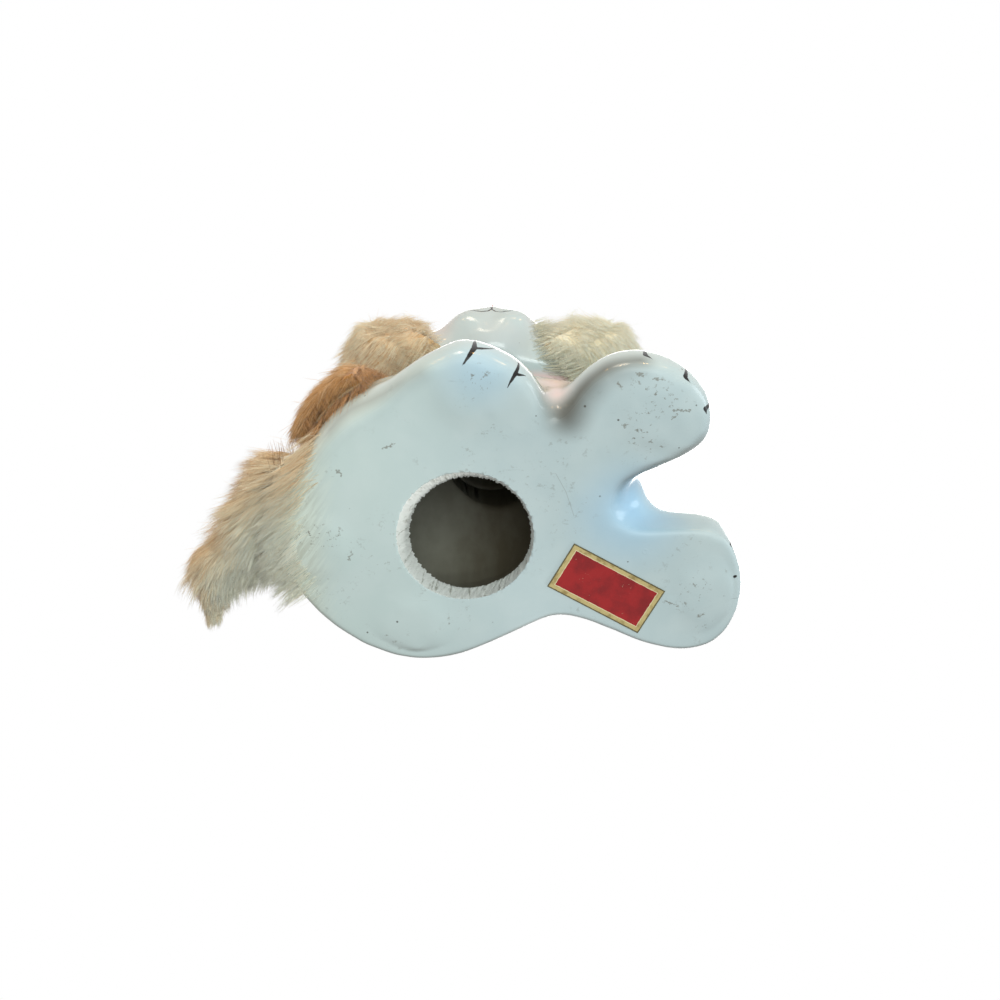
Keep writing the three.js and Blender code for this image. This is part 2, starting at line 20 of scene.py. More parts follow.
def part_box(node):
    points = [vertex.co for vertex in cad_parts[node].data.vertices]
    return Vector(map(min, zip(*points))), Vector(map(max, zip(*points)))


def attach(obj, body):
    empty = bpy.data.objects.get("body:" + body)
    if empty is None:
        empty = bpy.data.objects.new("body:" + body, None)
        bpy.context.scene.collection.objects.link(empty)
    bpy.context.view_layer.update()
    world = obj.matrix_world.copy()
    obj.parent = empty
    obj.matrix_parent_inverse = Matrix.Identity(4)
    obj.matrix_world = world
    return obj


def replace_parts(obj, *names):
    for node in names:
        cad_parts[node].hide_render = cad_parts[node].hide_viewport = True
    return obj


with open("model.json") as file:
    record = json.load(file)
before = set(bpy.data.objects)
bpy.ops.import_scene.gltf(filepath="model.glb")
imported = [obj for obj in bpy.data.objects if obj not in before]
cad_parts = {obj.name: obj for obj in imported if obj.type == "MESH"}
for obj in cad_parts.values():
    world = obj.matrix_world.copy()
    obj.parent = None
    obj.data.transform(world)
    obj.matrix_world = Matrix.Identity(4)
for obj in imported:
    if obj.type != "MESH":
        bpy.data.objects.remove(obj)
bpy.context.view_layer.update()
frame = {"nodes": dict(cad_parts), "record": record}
MM = 0.001
OPENINGS = {
    opening["name"]: [Vector(corner) for corner in opening["box_m"]]
    for opening in frame["record"]["physics"]["openings"]
}
print("nodes:", sorted(frame["nodes"]))

# %% [markdown]
# ## Small tools of the trade
# Operators act on whatever is selected, so every step first clears the selection and then selects one
# piece. These helpers do that, add a new object, apply a modifier as the panel's Apply button does, and
# copy a solid of the frame. The copy's loose triangles are merged first, so that it is one closed skin.

# %% Selection, modifiers and copies
MERGE_REACH = 0.002 * MM


def object_mode():
    bpy.ops.object.mode_set(mode="OBJECT")


def make_active(piece):
    if bpy.context.object and bpy.context.object.mode != "OBJECT":
        object_mode()
    bpy.ops.object.select_all(action="DESELECT")
    piece.select_set(True)
    bpy.context.view_layer.objects.active = piece


def added(operator, name, **settings):
    """Adds an object with nothing else selected, and gives it its name."""
    bpy.ops.object.select_all(action="DESELECT")
    operator(**settings)
    piece = bpy.context.object
    piece.name = name
    return piece


def settle():
    """Puts the place, turn and scale of the new piece into its mesh."""
    bpy.ops.object.transform_apply(location=True, rotation=True, scale=True)


def apply_modifier(piece, kind, **settings):
    make_active(piece)
    modifier = piece.modifiers.new(kind.title(), kind)
    for name, value in settings.items():
        setattr(modifier, name, value)
    bpy.ops.object.modifier_apply(modifier=modifier.name)


def in_edit_mode(piece):
    make_active(piece)
    bpy.ops.object.mode_set(mode="EDIT")
    bpy.ops.mesh.select_mode(type="FACE")
    bpy.ops.mesh.select_all(action="SELECT")


def shade_smooth(piece):
    make_active(piece)
    bpy.ops.object.shade_smooth()


def merged_copy(node, name):
    mesh = frame["nodes"][node].data.copy()
    mesh.name = name
    mesh.materials.clear()
    piece = bpy.data.objects.new(name, mesh)
    bpy.context.scene.collection.objects.link(piece)
    in_edit_mode(piece)
    bpy.ops.mesh.remove_doubles(threshold=MERGE_REACH)
    object_mode()
    return piece


def middle(corners):
    return (corners[0] + corners[1]) / 2


def clamp(value, low, high):
    return min(max(value, low), high)


def points_of(mesh):
    flat = np.empty(3 * len(mesh.vertices))
    mesh.vertices.foreach_get("co", flat)
    return flat.reshape(-1, 3)


def skin_tree(piece):
    """The faces of a piece, sorted for finding the nearest place and for casting rays."""
    return BVHTree.FromPolygons(
        [v.co.copy() for v in piece.data.vertices], [tuple(p.vertices) for p in piece.data.polygons])


def report(piece):
    size = [round(d / MM, 1) for d in piece.dimensions]
    print(f"{piece.name}: {len(piece.data.polygons)} faces, {size} mm")


# %% [markdown]
# ## Skins of the body casting
# The outside of the casting is one smooth, glazed skin, but the drain hole was cut after casting, so its
# rim is crisp. Smoothing the whole solid would blunt that rim. So the outside and the hollow are taken
# apart at their sharp edges, closed and smoothed on their own, and the hole is cut again later. The loop
# that the hole leaves in the outer skin also tells where the hole is.

# %% Take the skins apart
OUTSIDE_SHARP = 58
INSIDE_SHARP = 40
SMOOTHING = 0.5
BODY_VOXEL = 0.6 * MM
BODY_ROUNDS = 30


def skin_round(piece, place, sharp):
    """Keeps the faces that run smoothly on from the one nearest to a place, and gives the loops left open."""
    in_edit_mode(piece)
    bpy.ops.mesh.select_all(action="DESELECT")
    edit = bmesh.from_edit_mesh(piece.data)
    seed = min(edit.faces, key=lambda face: (face.calc_center_median() - place).length)
    seed.select = True
    edit.faces.active = seed
    bmesh.update_edit_mesh(piece.data)
    bpy.ops.mesh.faces_select_linked_flat(sharpness=math.radians(sharp))
    bpy.ops.mesh.select_all(action="INVERT")
    bpy.ops.mesh.delete(type="FACE")
    edit = bmesh.from_edit_mesh(piece.data)
    rim = [v.co.copy() for v in edit.verts if v.is_boundary]
    bpy.ops.mesh.select_all(action="SELECT")
    bpy.ops.mesh.fill_holes(sides=0)
    bpy.ops.mesh.normals_make_consistent(inside=False)
    object_mode()
    return rim


def smoothed(piece, voxel, rounds):
    make_active(piece)
    piece.data.remesh_voxel_size = voxel
    bpy.ops.object.voxel_remesh()
    apply_modifier(piece, "SMOOTH", factor=SMOOTHING, iterations=rounds)


low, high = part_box("body_casting")
body = merged_copy("body_casting", "body_glaze")
open_loops = skin_round(body, Vector((high.x, 0, low.z)), OUTSIDE_SHARP)
smoothed(body, BODY_VOXEL, BODY_ROUNDS)
report(body)

# %% Press the sole flat
SOLE_LEVEL = 0.75 * MM
SOLE_ROUND = 6 * MM
SOFT_FRONT = -10 * MM
CRISP_REAR = 4 * MM
for vertex in body.data.vertices:
    share = (vertex.co.z - SOLE_LEVEL) / SOLE_ROUND
    if 0 < share < 1:
        crisp = clamp((vertex.co.y - SOFT_FRONT) / (CRISP_REAR - SOFT_FRONT), 0, 1)
        # This curve starts level at the sole and meets the side at the side's own slope.
        pressed = 3 * share**3 - 2 * share**4
        vertex.co.z = SOLE_LEVEL + SOLE_ROUND * (share + (pressed - share) * crisp)
report(body)

# %% Hollow between its floor and the neck
HOLLOW_FLOOR = 5.7 * MM
HOLLOW_CEILING = 36 * MM
HOLLOW_VOXEL = 0.8 * MM
HOLLOW_ROUNDS = 4
hollow = merged_copy("body_casting", "hollow")
skin_round(hollow, middle(OPENINGS["body_hollow"]), INSIDE_SHARP)
for level, square in ((HOLLOW_FLOOR, (0, 0, 1)), (HOLLOW_CEILING, (0, 0, -1))):
    in_edit_mode(hollow)
    bpy.ops.mesh.bisect(plane_co=(0, 0, level), plane_no=square, use_fill=True, clear_inner=True)
    object_mode()
smoothed(hollow, HOLLOW_VOXEL, HOLLOW_ROUNDS)
report(hollow)

# %% Find the drain hole
rim = np.array([p for p in open_loops if p.z < OPENINGS["drain_hole"][1].z])
circle = np.column_stack([2 * rim[:, :2], np.ones(len(rim))])
across, along, power = np.linalg.lstsq(circle, (rim[:, :2] ** 2).sum(axis=1), rcond=None)[0]
HOLE = Vector((across, along, 0))
HOLE_RADIUS = math.sqrt(power + across**2 + along**2)
print("drain hole at", [round(v / MM, 2) for v in HOLE], "radius", round(HOLE_RADIUS / MM, 2))


def from_hole(across, along, up):
    """Place given in mm from the middle of the drain hole."""
    return HOLE + Vector((across, along, up)) * MM


def rows_from_hole(rows):
    return np.array(HOLE) + np.array(rows) * MM


# %% [markdown]
# ## Camera
# The photograph was taken from below and a little in front, about 22 degrees off the square view of the
# base. The camera's place follows from the size of the label and the roundness of the hole in the picture.

# %% Photograph's camera
VIEW_TILT = math.radians(22)
VIEW_DISTANCE = 380 * MM
PICTURE = 1000
PIXELS_PER_MM = 5.15
AIM = from_hole(7.0, -7.8, 0)
SENSOR = 36
CLIP_START = 10 * MM

look = Vector((0, math.sin(VIEW_TILT), math.cos(VIEW_TILT)))
upward = Vector((0, -math.cos(VIEW_TILT), math.sin(VIEW_TILT)))
rightward = look.cross(upward)
eye = AIM - VIEW_DISTANCE * look
focal = PIXELS_PER_MM * VIEW_DISTANCE / MM

camera = added(bpy.ops.object.camera_add, "photograph_camera")
camera.data.sensor_width = SENSOR
camera.data.lens = SENSOR * focal / PICTURE
camera.data.clip_start = CLIP_START
turn = Matrix((rightward, upward, -look)).transposed()
camera.matrix_world = Matrix.Translation(eye) @ turn.to_4x4()
bpy.context.scene.camera = camera
print("camera", [round(v / MM, 1) for v in eye], "lens", round(camera.data.lens, 1))


def sight_line(pixel):
    """Direction from the camera through a pixel of the photograph."""
    across = (pixel[0] - PICTURE / 2) / focal
    up = (PICTURE / 2 - pixel[1]) / focal
    return (look + across * rightward + up * upward).normalized()


# %% [markdown]
# ## Drain hole and neck passage
# A slip casting is poured out through a hole in its base. Here it was cut by hand in short strokes, so its
# wall is fluted, a little narrower inside, and leans to one side. A cylinder with many sides is divided
# along its length, and each ring is drawn in and pushed about by the strokes. Cutting it from the closed
# skin leaves a crisp rim.

# %% Cylinder for the knife
FLUTES = 62
SIDES_PER_FLUTE = 6
WALL_RINGS = 36
CUT_BELOW = 3 * MM
CUT_ABOVE = 11 * MM
knife = added(
    bpy.ops.mesh.primitive_cone_add, "knife_cut", vertices=FLUTES * SIDES_PER_FLUTE, radius1=HOLE_RADIUS,
    radius2=HOLE_RADIUS, depth=CUT_BELOW + CUT_ABOVE, location=HOLE)
bpy.ops.object.mode_set(mode="EDIT")
bpy.ops.mesh.select_mode(type="EDGE")
edit = bmesh.from_edit_mesh(knife.data)
for edge in edit.edges:
    edge.select = abs(edge.verts[0].co.z - edge.verts[1].co.z) > MM
bmesh.update_edit_mesh(knife.data)
bpy.ops.mesh.subdivide(number_cuts=WALL_RINGS)
object_mode()
settle()
report(knife)

# %% Strokes of the knife
KNIFE_SEED = 7
FLUTE_DEPTH = 0.34 * MM
STROKE_JITTER = 0.35
SHALLOWEST = 0.25
STROKE_SLANT = 0.006
CHIP_DEPTH = 0.22 * MM
CHIPS_ROUND = (911, 577)
CHIPS_DEEP = (17, -29)
ROUGH_RISE = 3
ROUGH_AT_RIM = 0.25
WALL_DEPTH = 5.6 * MM
HOLE_TAPER = 1.55 * MM
KNIFE_LEAN = Vector((1.1, 1.6, 0)) * MM
LEAN_BELOW = -0.3
DEEPEST = 1.4

chance = np.random.default_rng(KNIFE_SEED)
even_starts = np.linspace(0, 1, FLUTES, endpoint=False)
stroke_starts = np.sort(even_starts + chance.uniform(-STROKE_JITTER, STROKE_JITTER, FLUTES) / FLUTES)
stroke_depths = chance.uniform(SHALLOWEST, 1, FLUTES)
for vertex in knife.data.vertices:
    spoke = vertex.co - HOLE
    spoke.z = 0
    deep = vertex.co.z + (CUT_ABOVE - CUT_BELOW) / 2
    share = deep / WALL_DEPTH
    angle = math.atan2(spoke.y, spoke.x) / math.tau
    gaps = (angle + share * STROKE_SLANT - stroke_starts) % 1
    stroke = int(np.argmin(gaps))
    across = gaps[stroke] / ((stroke_starts[(stroke + 1) % FLUTES] - stroke_starts[stroke]) % 1)
    flute = stroke_depths[stroke] * (1 - (2 * across - 1) ** 2) * FLUTE_DEPTH
    waves = [math.sin(angle * turns + share * deeper) for turns, deeper in zip(CHIPS_ROUND, CHIPS_DEEP)]
    chips = CHIP_DEPTH * (waves[0] * waves[1])
    rough = clamp(share * ROUGH_RISE, ROUGH_AT_RIM, 1)
    radius = HOLE_RADIUS - HOLE_TAPER * clamp(share, 0, DEEPEST) - (flute + chips - FLUTE_DEPTH / 2) * rough
    lean = KNIFE_LEAN * clamp(share, LEAN_BELOW, DEEPEST)
    vertex.co = HOLE + lean + spoke.normalized() * radius + Vector((0, 0, deep))
report(knife)

# %% Neck passage
PASSAGE_RADIUS = 10 * MM
PASSAGE_SIDES = 96
PASSAGE_LOW = from_hole(6.1, -3.8, 27)
PASSAGE_HIGH = from_hole(5, -2.2, 47)
passage_run = PASSAGE_HIGH - PASSAGE_LOW
neck_cut = added(
    bpy.ops.mesh.primitive_cylinder_add, "neck_cut", vertices=PASSAGE_SIDES, radius=PASSAGE_RADIUS,
    depth=passage_run.length, location=(PASSAGE_LOW + PASSAGE_HIGH) / 2)
neck_cut.rotation_euler = passage_run.to_track_quat("Z", "Y").to_euler()
settle()
report(neck_cut)

# %% [markdown]
# ## Three clays in one casting
# The outside is glazed, the knife-cut wall is bare white clay, and the hollow is dark where thin slip dried
# on the inside, with painted shade over one side. Each cutter carries its own material, and the boolean cut
# hands that material to the faces it makes.

# %% Cut the body
CREASE = math.radians(38)
glaze_slot = bpy.data.materials.new("body glaze")
cut_clay = bpy.data.materials.new("knife-cut clay")
inner_clay = bpy.data.materials.new("inner clay")
body.data.materials.append(glaze_slot)
for cutter, clay in ((hollow, inner_clay), (neck_cut, inner_clay), (knife, cut_clay)):
    cutter.data.materials.append(clay)
    apply_modifier(
        body, "BOOLEAN", operation="DIFFERENCE", object=cutter, solver="EXACT", material_mode="TRANSFER")
    bpy.data.objects.remove(cutter)
make_active(body)
bpy.ops.object.shade_smooth_by_angle(angle=CREASE)
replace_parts(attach(body, "root"), "body_casting")
report(body)
print([m.name for m in body.data.materials], np.bincount([p.material_index for p in body.data.polygons]))

# %% [markdown]
# ## Ceramic head
# The head was cast on its own and stuck to the neck with slip. Its solid has the skull, the muzzle and the
# ears, and the modeller added a small nose and slightly domed eyes. So a few spheres are joined to a copy
# of the solid, and one voxel remesh welds them into a single skin, which smoothing then softens as a glaze
# does.

# %% Face landmarks
SKULL_ABOVE_JOINT = 14.2 * MM
FAR_AHEAD = -200 * MM
head = merged_copy("head_casting", "head_glaze")
head_low, head_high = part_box("head_casting")
FACE = Vector((middle((head_low, head_high)).x, 0, head_low.z + SKULL_ABOVE_JOINT))


def on_face(tree, across, up):
    """Point of the face, and its normal, at a place given from the middle of the face."""
    start = Vector((FACE.x + across, FAR_AHEAD, FACE.z + up))
    place, normal, _, _ = tree.ray_cast(start, Vector((0, 1, 0)))
    return place, normal


print("middle of the face", [round(v / MM, 1) for v in FACE])

# %% Nose and eyes
EYE_ACROSS = 7.8 * MM
EYE_UP = 2.6 * MM
EYE_RADIUS = 5 * MM
EYE_DOME = 0.9 * MM
NOSE_UP = 0.2 * MM
NOSE_RADIUS = 2.2 * MM
NOSE_STANDS = 0.6 * MM
HEAD_VOXEL = 0.5 * MM
HEAD_ROUNDS = 14
rough_face = skin_tree(head)
bumps = [(0, NOSE_UP, NOSE_RADIUS, NOSE_STANDS)]
bumps += [(side * EYE_ACROSS, EYE_UP, EYE_RADIUS, EYE_DOME) for side in (-1, 1)]
for across, up, radius, stands in bumps:
    place, normal = on_face(rough_face, across, up)
    centre = place - normal * (radius - stands)
    added(bpy.ops.mesh.primitive_uv_sphere_add, "bump", radius=radius, location=centre)
    settle()
    head.select_set(True)
    bpy.context.view_layer.objects.active = head
    bpy.ops.object.join()
smoothed(head, HEAD_VOXEL, HEAD_ROUNDS)
shade_smooth(head)
report(head)

# %% Bare clay inside the head
INNER_REACH = 1.2 * MM
inside = merged_copy("head_casting", "head_inside")
skin_round(inside, middle(OPENINGS["head_hollow"]), INSIDE_SHARP)
inside_skin = skin_tree(inside)
bpy.data.objects.remove(inside)
head.data.materials.append(bpy.data.materials.new("head glaze"))
head.data.materials.append(inner_clay)
for face in head.data.polygons:
    if inside_skin.find_nearest(face.center)[3] < INNER_REACH:
        face.material_index = 1
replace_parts(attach(head, "root"), "head_casting")
report(head)
face_skin = skin_tree(head)
body_skin = skin_tree(body)

# %% [markdown]
# ## Tools for materials
# Every finish here is a small graph of shader nodes. A Value stands for the output of a node. Plus, minus
# and times between Values add the nodes that reckon with them, and a few helpers add nodes of other kinds,
# so that a material reads from top to bottom like a recipe.


# %% Values and nodes
class Value:
    """Output of a node. Sums, differences and products of it are outputs of new nodes."""

    def __init__(self, socket):
        self.socket = socket

    def __add__(self, other):
        return calc("ADD", self, other)

    def __sub__(self, other):
        return calc("SUBTRACT", self, other)

    def __mul__(self, other):
        return calc("MULTIPLY", self, other)

    def outputs(self):
        """All outputs of the same node."""
        return [Value(socket) for socket in self.socket.node.outputs]


def plug(socket, value):
    if isinstance(value, Value):
        socket.id_data.links.new(value.socket, socket)
    else:
        socket.default_value = value


def add(kind, sockets, output=0, tree=None, **settings):
    """Adds a node and gives one of its outputs. Without a tree it goes to the tree of its first Value."""
    tree = tree or next(value.socket.id_data for value in sockets.values() if isinstance(value, Value))
    node = tree.nodes.new("ShaderNode" + kind)
    for name, value in settings.items():
        setattr(node, name, value)
    for name, value in sockets.items():
        plug(node.inputs[name], value)
    return Value(node.outputs[output])


# %% Node helpers
MIX_SOCKETS = (0, 6, 7)
MIX_COLOUR = 2
STRETCH = 0.1
ASKEW = (0.1, 0.3, 0.9)
TINY = 1e-9


def calc(operation, *values):
    return add("Math", dict(enumerate(values)), operation=operation)


def vector(operation, *values, output="Vector"):
    return add("VectorMath", dict(enumerate(values)), output, operation=operation)


def parts(value):
    return add("SeparateXYZ", {"Vector": value}).outputs()


def tint(factor, first, second):
    return add("Mix", dict(zip(MIX_SOCKETS, (factor, first, second))), MIX_COLOUR, data_type="RGBA")


def fade(value, start, end, at_start=0.0, at_end=1.0):
    sockets = dict(enumerate((value, start, end, at_start, at_end)))
    return add("MapRange", sockets, interpolation_type="SMOOTHSTEP")


def below(value, start, end):
    return fade(value, start, end, 1.0, 0.0)


def noise(place, scale, detail=3.0, roughness=0.55):
    return add("TexNoise", {"Vector": place, "Scale": scale, "Detail": detail, "Roughness": roughness}, "Fac")


def shaken(place, scale, detail, shift, base):
    """A place moved about by noise, so that what is painted by it gets an uneven edge."""
    grit = add("TexNoise", {"Vector": place, "Scale": scale, "Detail": detail}, "Color")
    return vector("MULTIPLY_ADD", grit, (shift,) * 3, base)


def unit(rows):
    return rows / np.maximum(np.linalg.norm(rows, axis=-1, keepdims=True), TINY)


def combed_straight(place, comb):
    """Coordinates that are stretched along one direction, so that noise on them looks like combed hair."""
    side = unit(np.cross(comb, ASKEW))
    axes = (side, np.cross(comb, side), comb * STRETCH)
    values = [vector("DOT_PRODUCT", place, tuple(axis), output="Value") for axis in axes]
    return add("CombineXYZ", dict(zip("XYZ", values)))


# %% Materials and colours
def open_material(material):
    material.use_nodes = True
    return material.node_tree.nodes["Principled BSDF"]


def source(shader, kind, output, **settings):
    """Output of a node that takes no inputs, in the graph of a shader."""
    return add(kind, {}, output, shader.id_data, **settings)


def place_on(shader):
    return source(shader, "TexCoord", "Object")


def finish(shader, colour, roughness, **more):
    """Plugs a shader's colour, its roughness and other inputs, whose names have _ for a blank."""
    sockets = {"Base_Color": colour, "Roughness": roughness} | more
    for name, value in sockets.items():
        plug(shader.inputs[name.replace("_", " ")], value)


def bump(height, strength, distance):
    return add("Bump", {"Strength": strength, "Distance": distance, "Height": height})


def srgb(red, green, blue):
    """A colour as a screen shows it, from 0 to 255, as the linear colour that a shader takes."""
    shares = [channel / 255 for channel in (red, green, blue)]
    return tuple(c / 12.92 if c <= 0.04045 else ((c + 0.055) / 1.055) ** 2.4 for c in shares) + (1.0,)


# %% [markdown]
# ## Brush strokes and airbrush
# The claws and the face were painted by hand in thin strokes, and a soft blush was sprayed on. Both come
# back many times, so each is a node group. A stroke is the distance to a line from start to end, with a
# width at each end. A spray is the distance to one point. Both put out a mask, and the material mixes its
# colour by that mask.

# %% Paint groups
EDGE_SOFTNESS = 0.06 * MM


def new_group(name, inputs, outputs):
    """A node group, the Values that go into it by their names, and the node that takes its results."""
    group = bpy.data.node_groups.new(name, "ShaderNodeTree")
    for socket, kind in inputs.items():
        group.interface.new_socket(socket, in_out="INPUT", socket_type="NodeSocket" + kind)
    for socket in outputs:
        group.interface.new_socket(socket, in_out="OUTPUT", socket_type="NodeSocketFloat")
    given = group.nodes.new("NodeGroupInput")
    return group, {name: Value(given.outputs[name]) for name in inputs}, group.nodes.new("NodeGroupOutput")


def brush_stroke_group():
    kinds = dict.fromkeys(("Place", "Start", "End"), "Vector")
    kinds |= dict.fromkeys(("Start Width", "End Width", "Softness"), "Float")
    group, given, result = new_group("brush stroke", kinds, ["Mask"])
    offset = vector("SUBTRACT", given["Place"], given["Start"])
    line = vector("SUBTRACT", given["End"], given["Start"])
    reach = vector("DOT_PRODUCT", offset, line, output="Value")
    length2 = vector("DOT_PRODUCT", line, line, output="Value")
    share = add("Clamp", {"Value": calc("DIVIDE", reach, length2)})
    foot = add("VectorMath", {0: line, "Scale": share}, operation="SCALE")
    away = vector("DISTANCE", offset, foot, output="Value")
    width = fade(share, 0.0, 1.0, given["Start Width"], given["End Width"])
    mask = below(away, width - given["Softness"], width + given["Softness"])
    plug(result.inputs["Mask"], mask)
    return group


def airbrush_group():
    kinds = {"Place": "Vector", "Centre": "Vector", "Radius": "Float"}
    group, given, result = new_group("airbrush", kinds, ["Mask"])
    away = vector("DISTANCE", given["Place"], given["Centre"], output="Value")
    plug(result.inputs["Mask"], below(away, 0.0, given["Radius"]))
    return group


BRUSH_STROKE = brush_stroke_group()
AIRBRUSH = airbrush_group()


def stroke_mask(place, stroke, softness):
    names = ("Start", "End", "Start Width", "End Width")
    sockets = {"Place": place, "Softness": softness} | dict(zip(names, stroke))
    return add("Group", sockets, "Mask", node_tree=BRUSH_STROKE)


def spray_mask(place, centre, radius):
    return add("Group", {"Place": place, "Centre": centre, "Radius": radius}, "Mask", node_tree=AIRBRUSH)


def painted(place, ground, strokes, colour, softness=EDGE_SOFTNESS):
    whole = stroke_mask(place, strokes[0], softness)
    for stroke in strokes[1:]:
        whole = calc("MAXIMUM", whole, stroke_mask(place, stroke, softness))
    return tint(whole, ground, colour)


print("groups:", [group.name for group in bpy.data.node_groups])

# %% [markdown]
# ## Flaws of an old glaze
# Under a lens the glaze has small dark specks of iron, pinholes where gas came out, rings of burst craters,
# hairline scratches and a faint orange peel. Body and head share them, so they are one group that puts out
# a mask for dirt and a height for bump.

# %% Glaze flaws group
SPECK_SCALE = 330.0
SPECK_ODDS = 0.72
SPECK_SIZE = 0.12
SPECK_CORE = 0.45
PIT_SCALE = 190.0
PIT_ODDS = 0.62
PIT_EDGE = (0.02, 0.075)
PIT_DIRT = 0.6
PIT_DEPTH = 0.5
RING_SCALE = 95.0
RING_ODDS = 0.62
RING_GRAIN = 1400.0
RING_RAGGED = 0.05
RING_INSIDE = (0.045, 0.055)
RING_OUTSIDE = (0.075, 0.09)
RING_WEAR_SCALE = 700.0
RING_WEAR = (0.48, 0.56)
RING_DIRT = 0.7
RING_HEIGHT = 0.35
SCRATCH_TURN = (0.3, 0.2, 0.7)
SCRATCH_STRETCH = (22.0, 1150.0, 300.0)
SCRATCH_EDGE = (0.70, 0.76)
SCRATCH_BREAK_SCALE = 130.0
SCRATCH_BREAK = (0.55, 0.65)
SCRATCH_DIRT = 0.45
SCRATCH_DEPTH = 0.1
PEEL_SCALE = 520.0
PEEL_HEIGHT = 0.05
SWELL_SCALE = 75.0
SWELL_HEIGHT = 1.0


def scattered(place, scale):
    """Distance to the nearest of many scattered points, and three numbers that each point draws."""
    away, drawn = add("TexVoronoi", {"Vector": place, "Scale": scale}).outputs()[:2]
    return away, add("SeparateColor", {"Color": drawn}).outputs()


def glaze_flaws_group():
    group, given, result = new_group("glaze flaws", {"Place": "Vector"}, ["Dirt", "Height"])
    place = given["Place"]

    away, (odds, drawn, _) = scattered(place, SPECK_SCALE)
    size = drawn * SPECK_SIZE
    speck = calc("GREATER_THAN", odds, SPECK_ODDS) * below(away, size * SPECK_CORE, size)

    away, (_, _, odds) = scattered(place, PIT_SCALE)
    pit = calc("GREATER_THAN", odds, PIT_ODDS) * below(away, *PIT_EDGE)

    away, (_, odds, _) = scattered(place, RING_SCALE)
    ragged = calc("MULTIPLY_ADD", noise(place, RING_GRAIN, detail=2.0), RING_RAGGED, away)
    ring = fade(ragged, *RING_INSIDE) * below(ragged, *RING_OUTSIDE)
    ring = calc("GREATER_THAN", odds, RING_ODDS) * ring
    worn_ring = ring * fade(noise(place, RING_WEAR_SCALE, detail=1.0), *RING_WEAR)

    slanted = add("Mapping", {"Vector": place, "Rotation": SCRATCH_TURN, "Scale": SCRATCH_STRETCH})
    broken = noise(place, SCRATCH_BREAK_SCALE, detail=2.0)
    scratch = fade(noise(slanted, 1.0, detail=2.0), *SCRATCH_EDGE) * fade(broken, *SCRATCH_BREAK)

    dirt = speck
    for flaw, share in ((pit, PIT_DIRT), (scratch, SCRATCH_DIRT), (worn_ring, RING_DIRT)):
        dirt = calc("MAXIMUM", dirt, flaw * share)
    swell = noise(place, SWELL_SCALE, detail=2.0)
    height = swell * SWELL_HEIGHT + noise(place, PEEL_SCALE, detail=2.0) * PEEL_HEIGHT
    height = height + ring * RING_HEIGHT - pit * PIT_DEPTH - scratch * SCRATCH_DEPTH
    plug(result.inputs["Dirt"], dirt)
    plug(result.inputs["Height"], height)
    return group


GLAZE_FLAWS = glaze_flaws_group()


def flaws(place):
    return add("Group", {"Place": place}, node_tree=GLAZE_FLAWS).outputs()


print("flaws:", [socket.name for socket in GLAZE_FLAWS.interface.items_tree])

# %% [markdown]
# ## Painted claws
# Each claw is a short black stroke that starts at the edge of the sole and runs up over the toe. The
# photograph shows the lower ends, so each start is found by casting a ray through its pixel on to the body.
# The toes are round, so a stroke is made of short steps that stay on the skin.

# %% Strokes on the body
CLAW_LENGTH = 5.5 * MM
CLAW_STEPS = 4
CLAW_TIP = 0.1 * MM


def on_body(pixel):
    place = body_skin.ray_cast(eye, sight_line(pixel))[0]
    if place is None:
        raise ValueError(f"pixel {pixel} misses the body")
    return place


def line_through(places, start_width, end_width):
    """Strokes from place to place, whose width runs from the first to the last."""
    widths = np.linspace(start_width, end_width, len(places)).tolist()
    return list(zip(places, places[1:], widths, widths[1:]))


def body_line(pixels, start_width, end_width):
    return line_through([on_body(pixel) for pixel in pixels], start_width, end_width)


def in_steps(start_pixel, end_pixel):
    """Pixels in even steps from one to another."""
    return np.linspace(start_pixel, end_pixel, CLAW_STEPS + 1).tolist()


def over_the_toe(pixel, width):
    """Strokes of a claw that starts at a pixel near the sole's edge and runs up over the toe."""
    start = on_body(pixel)
    heights = np.linspace(0, CLAW_LENGTH, CLAW_STEPS)
    places = [body_skin.find_nearest(start + Vector((0, 0, height)))[0] for height in heights]
    return line_through(places, width, CLAW_TIP)


# %% Claws
HIND_CLAW_PIXELS = [((462, 367), (475, 348), (496, 349)), ((508, 388), (516, 374), (526, 376))]
HIND_CLAW_WIDTHS = [0.6 * MM, 0.42 * MM]
NEAR_CLAW_PIXELS = [((646, 355), (653, 359)), ((686, 377), (691, 383)), ((706, 409), (707, 414))]
NEAR_CLAW_WIDTH = 0.48 * MM
FAR_CLAW_PIXELS = [((731, 545), (732, 547)), ((735, 577), (735, 579))]
FAR_CLAW_WIDTH = 0.3 * MM
claws = []
for (tail_end, knuckle, toe), width in zip(HIND_CLAW_PIXELS, HIND_CLAW_WIDTHS):
    claws += body_line(in_steps(tail_end, knuckle), CLAW_TIP, width)
    claws += body_line(in_steps(knuckle, toe), width, CLAW_TIP)
    claws += over_the_toe(knuckle, width)
for pixels, width in ((NEAR_CLAW_PIXELS, NEAR_CLAW_WIDTH), (FAR_CLAW_PIXELS, FAR_CLAW_WIDTH)):
    for knuckle, point in pixels:
        claws += body_line((knuckle, point), width, CLAW_TIP)
        claws += over_the_toe(knuckle, width)
print(len(claws), "claw strokes")
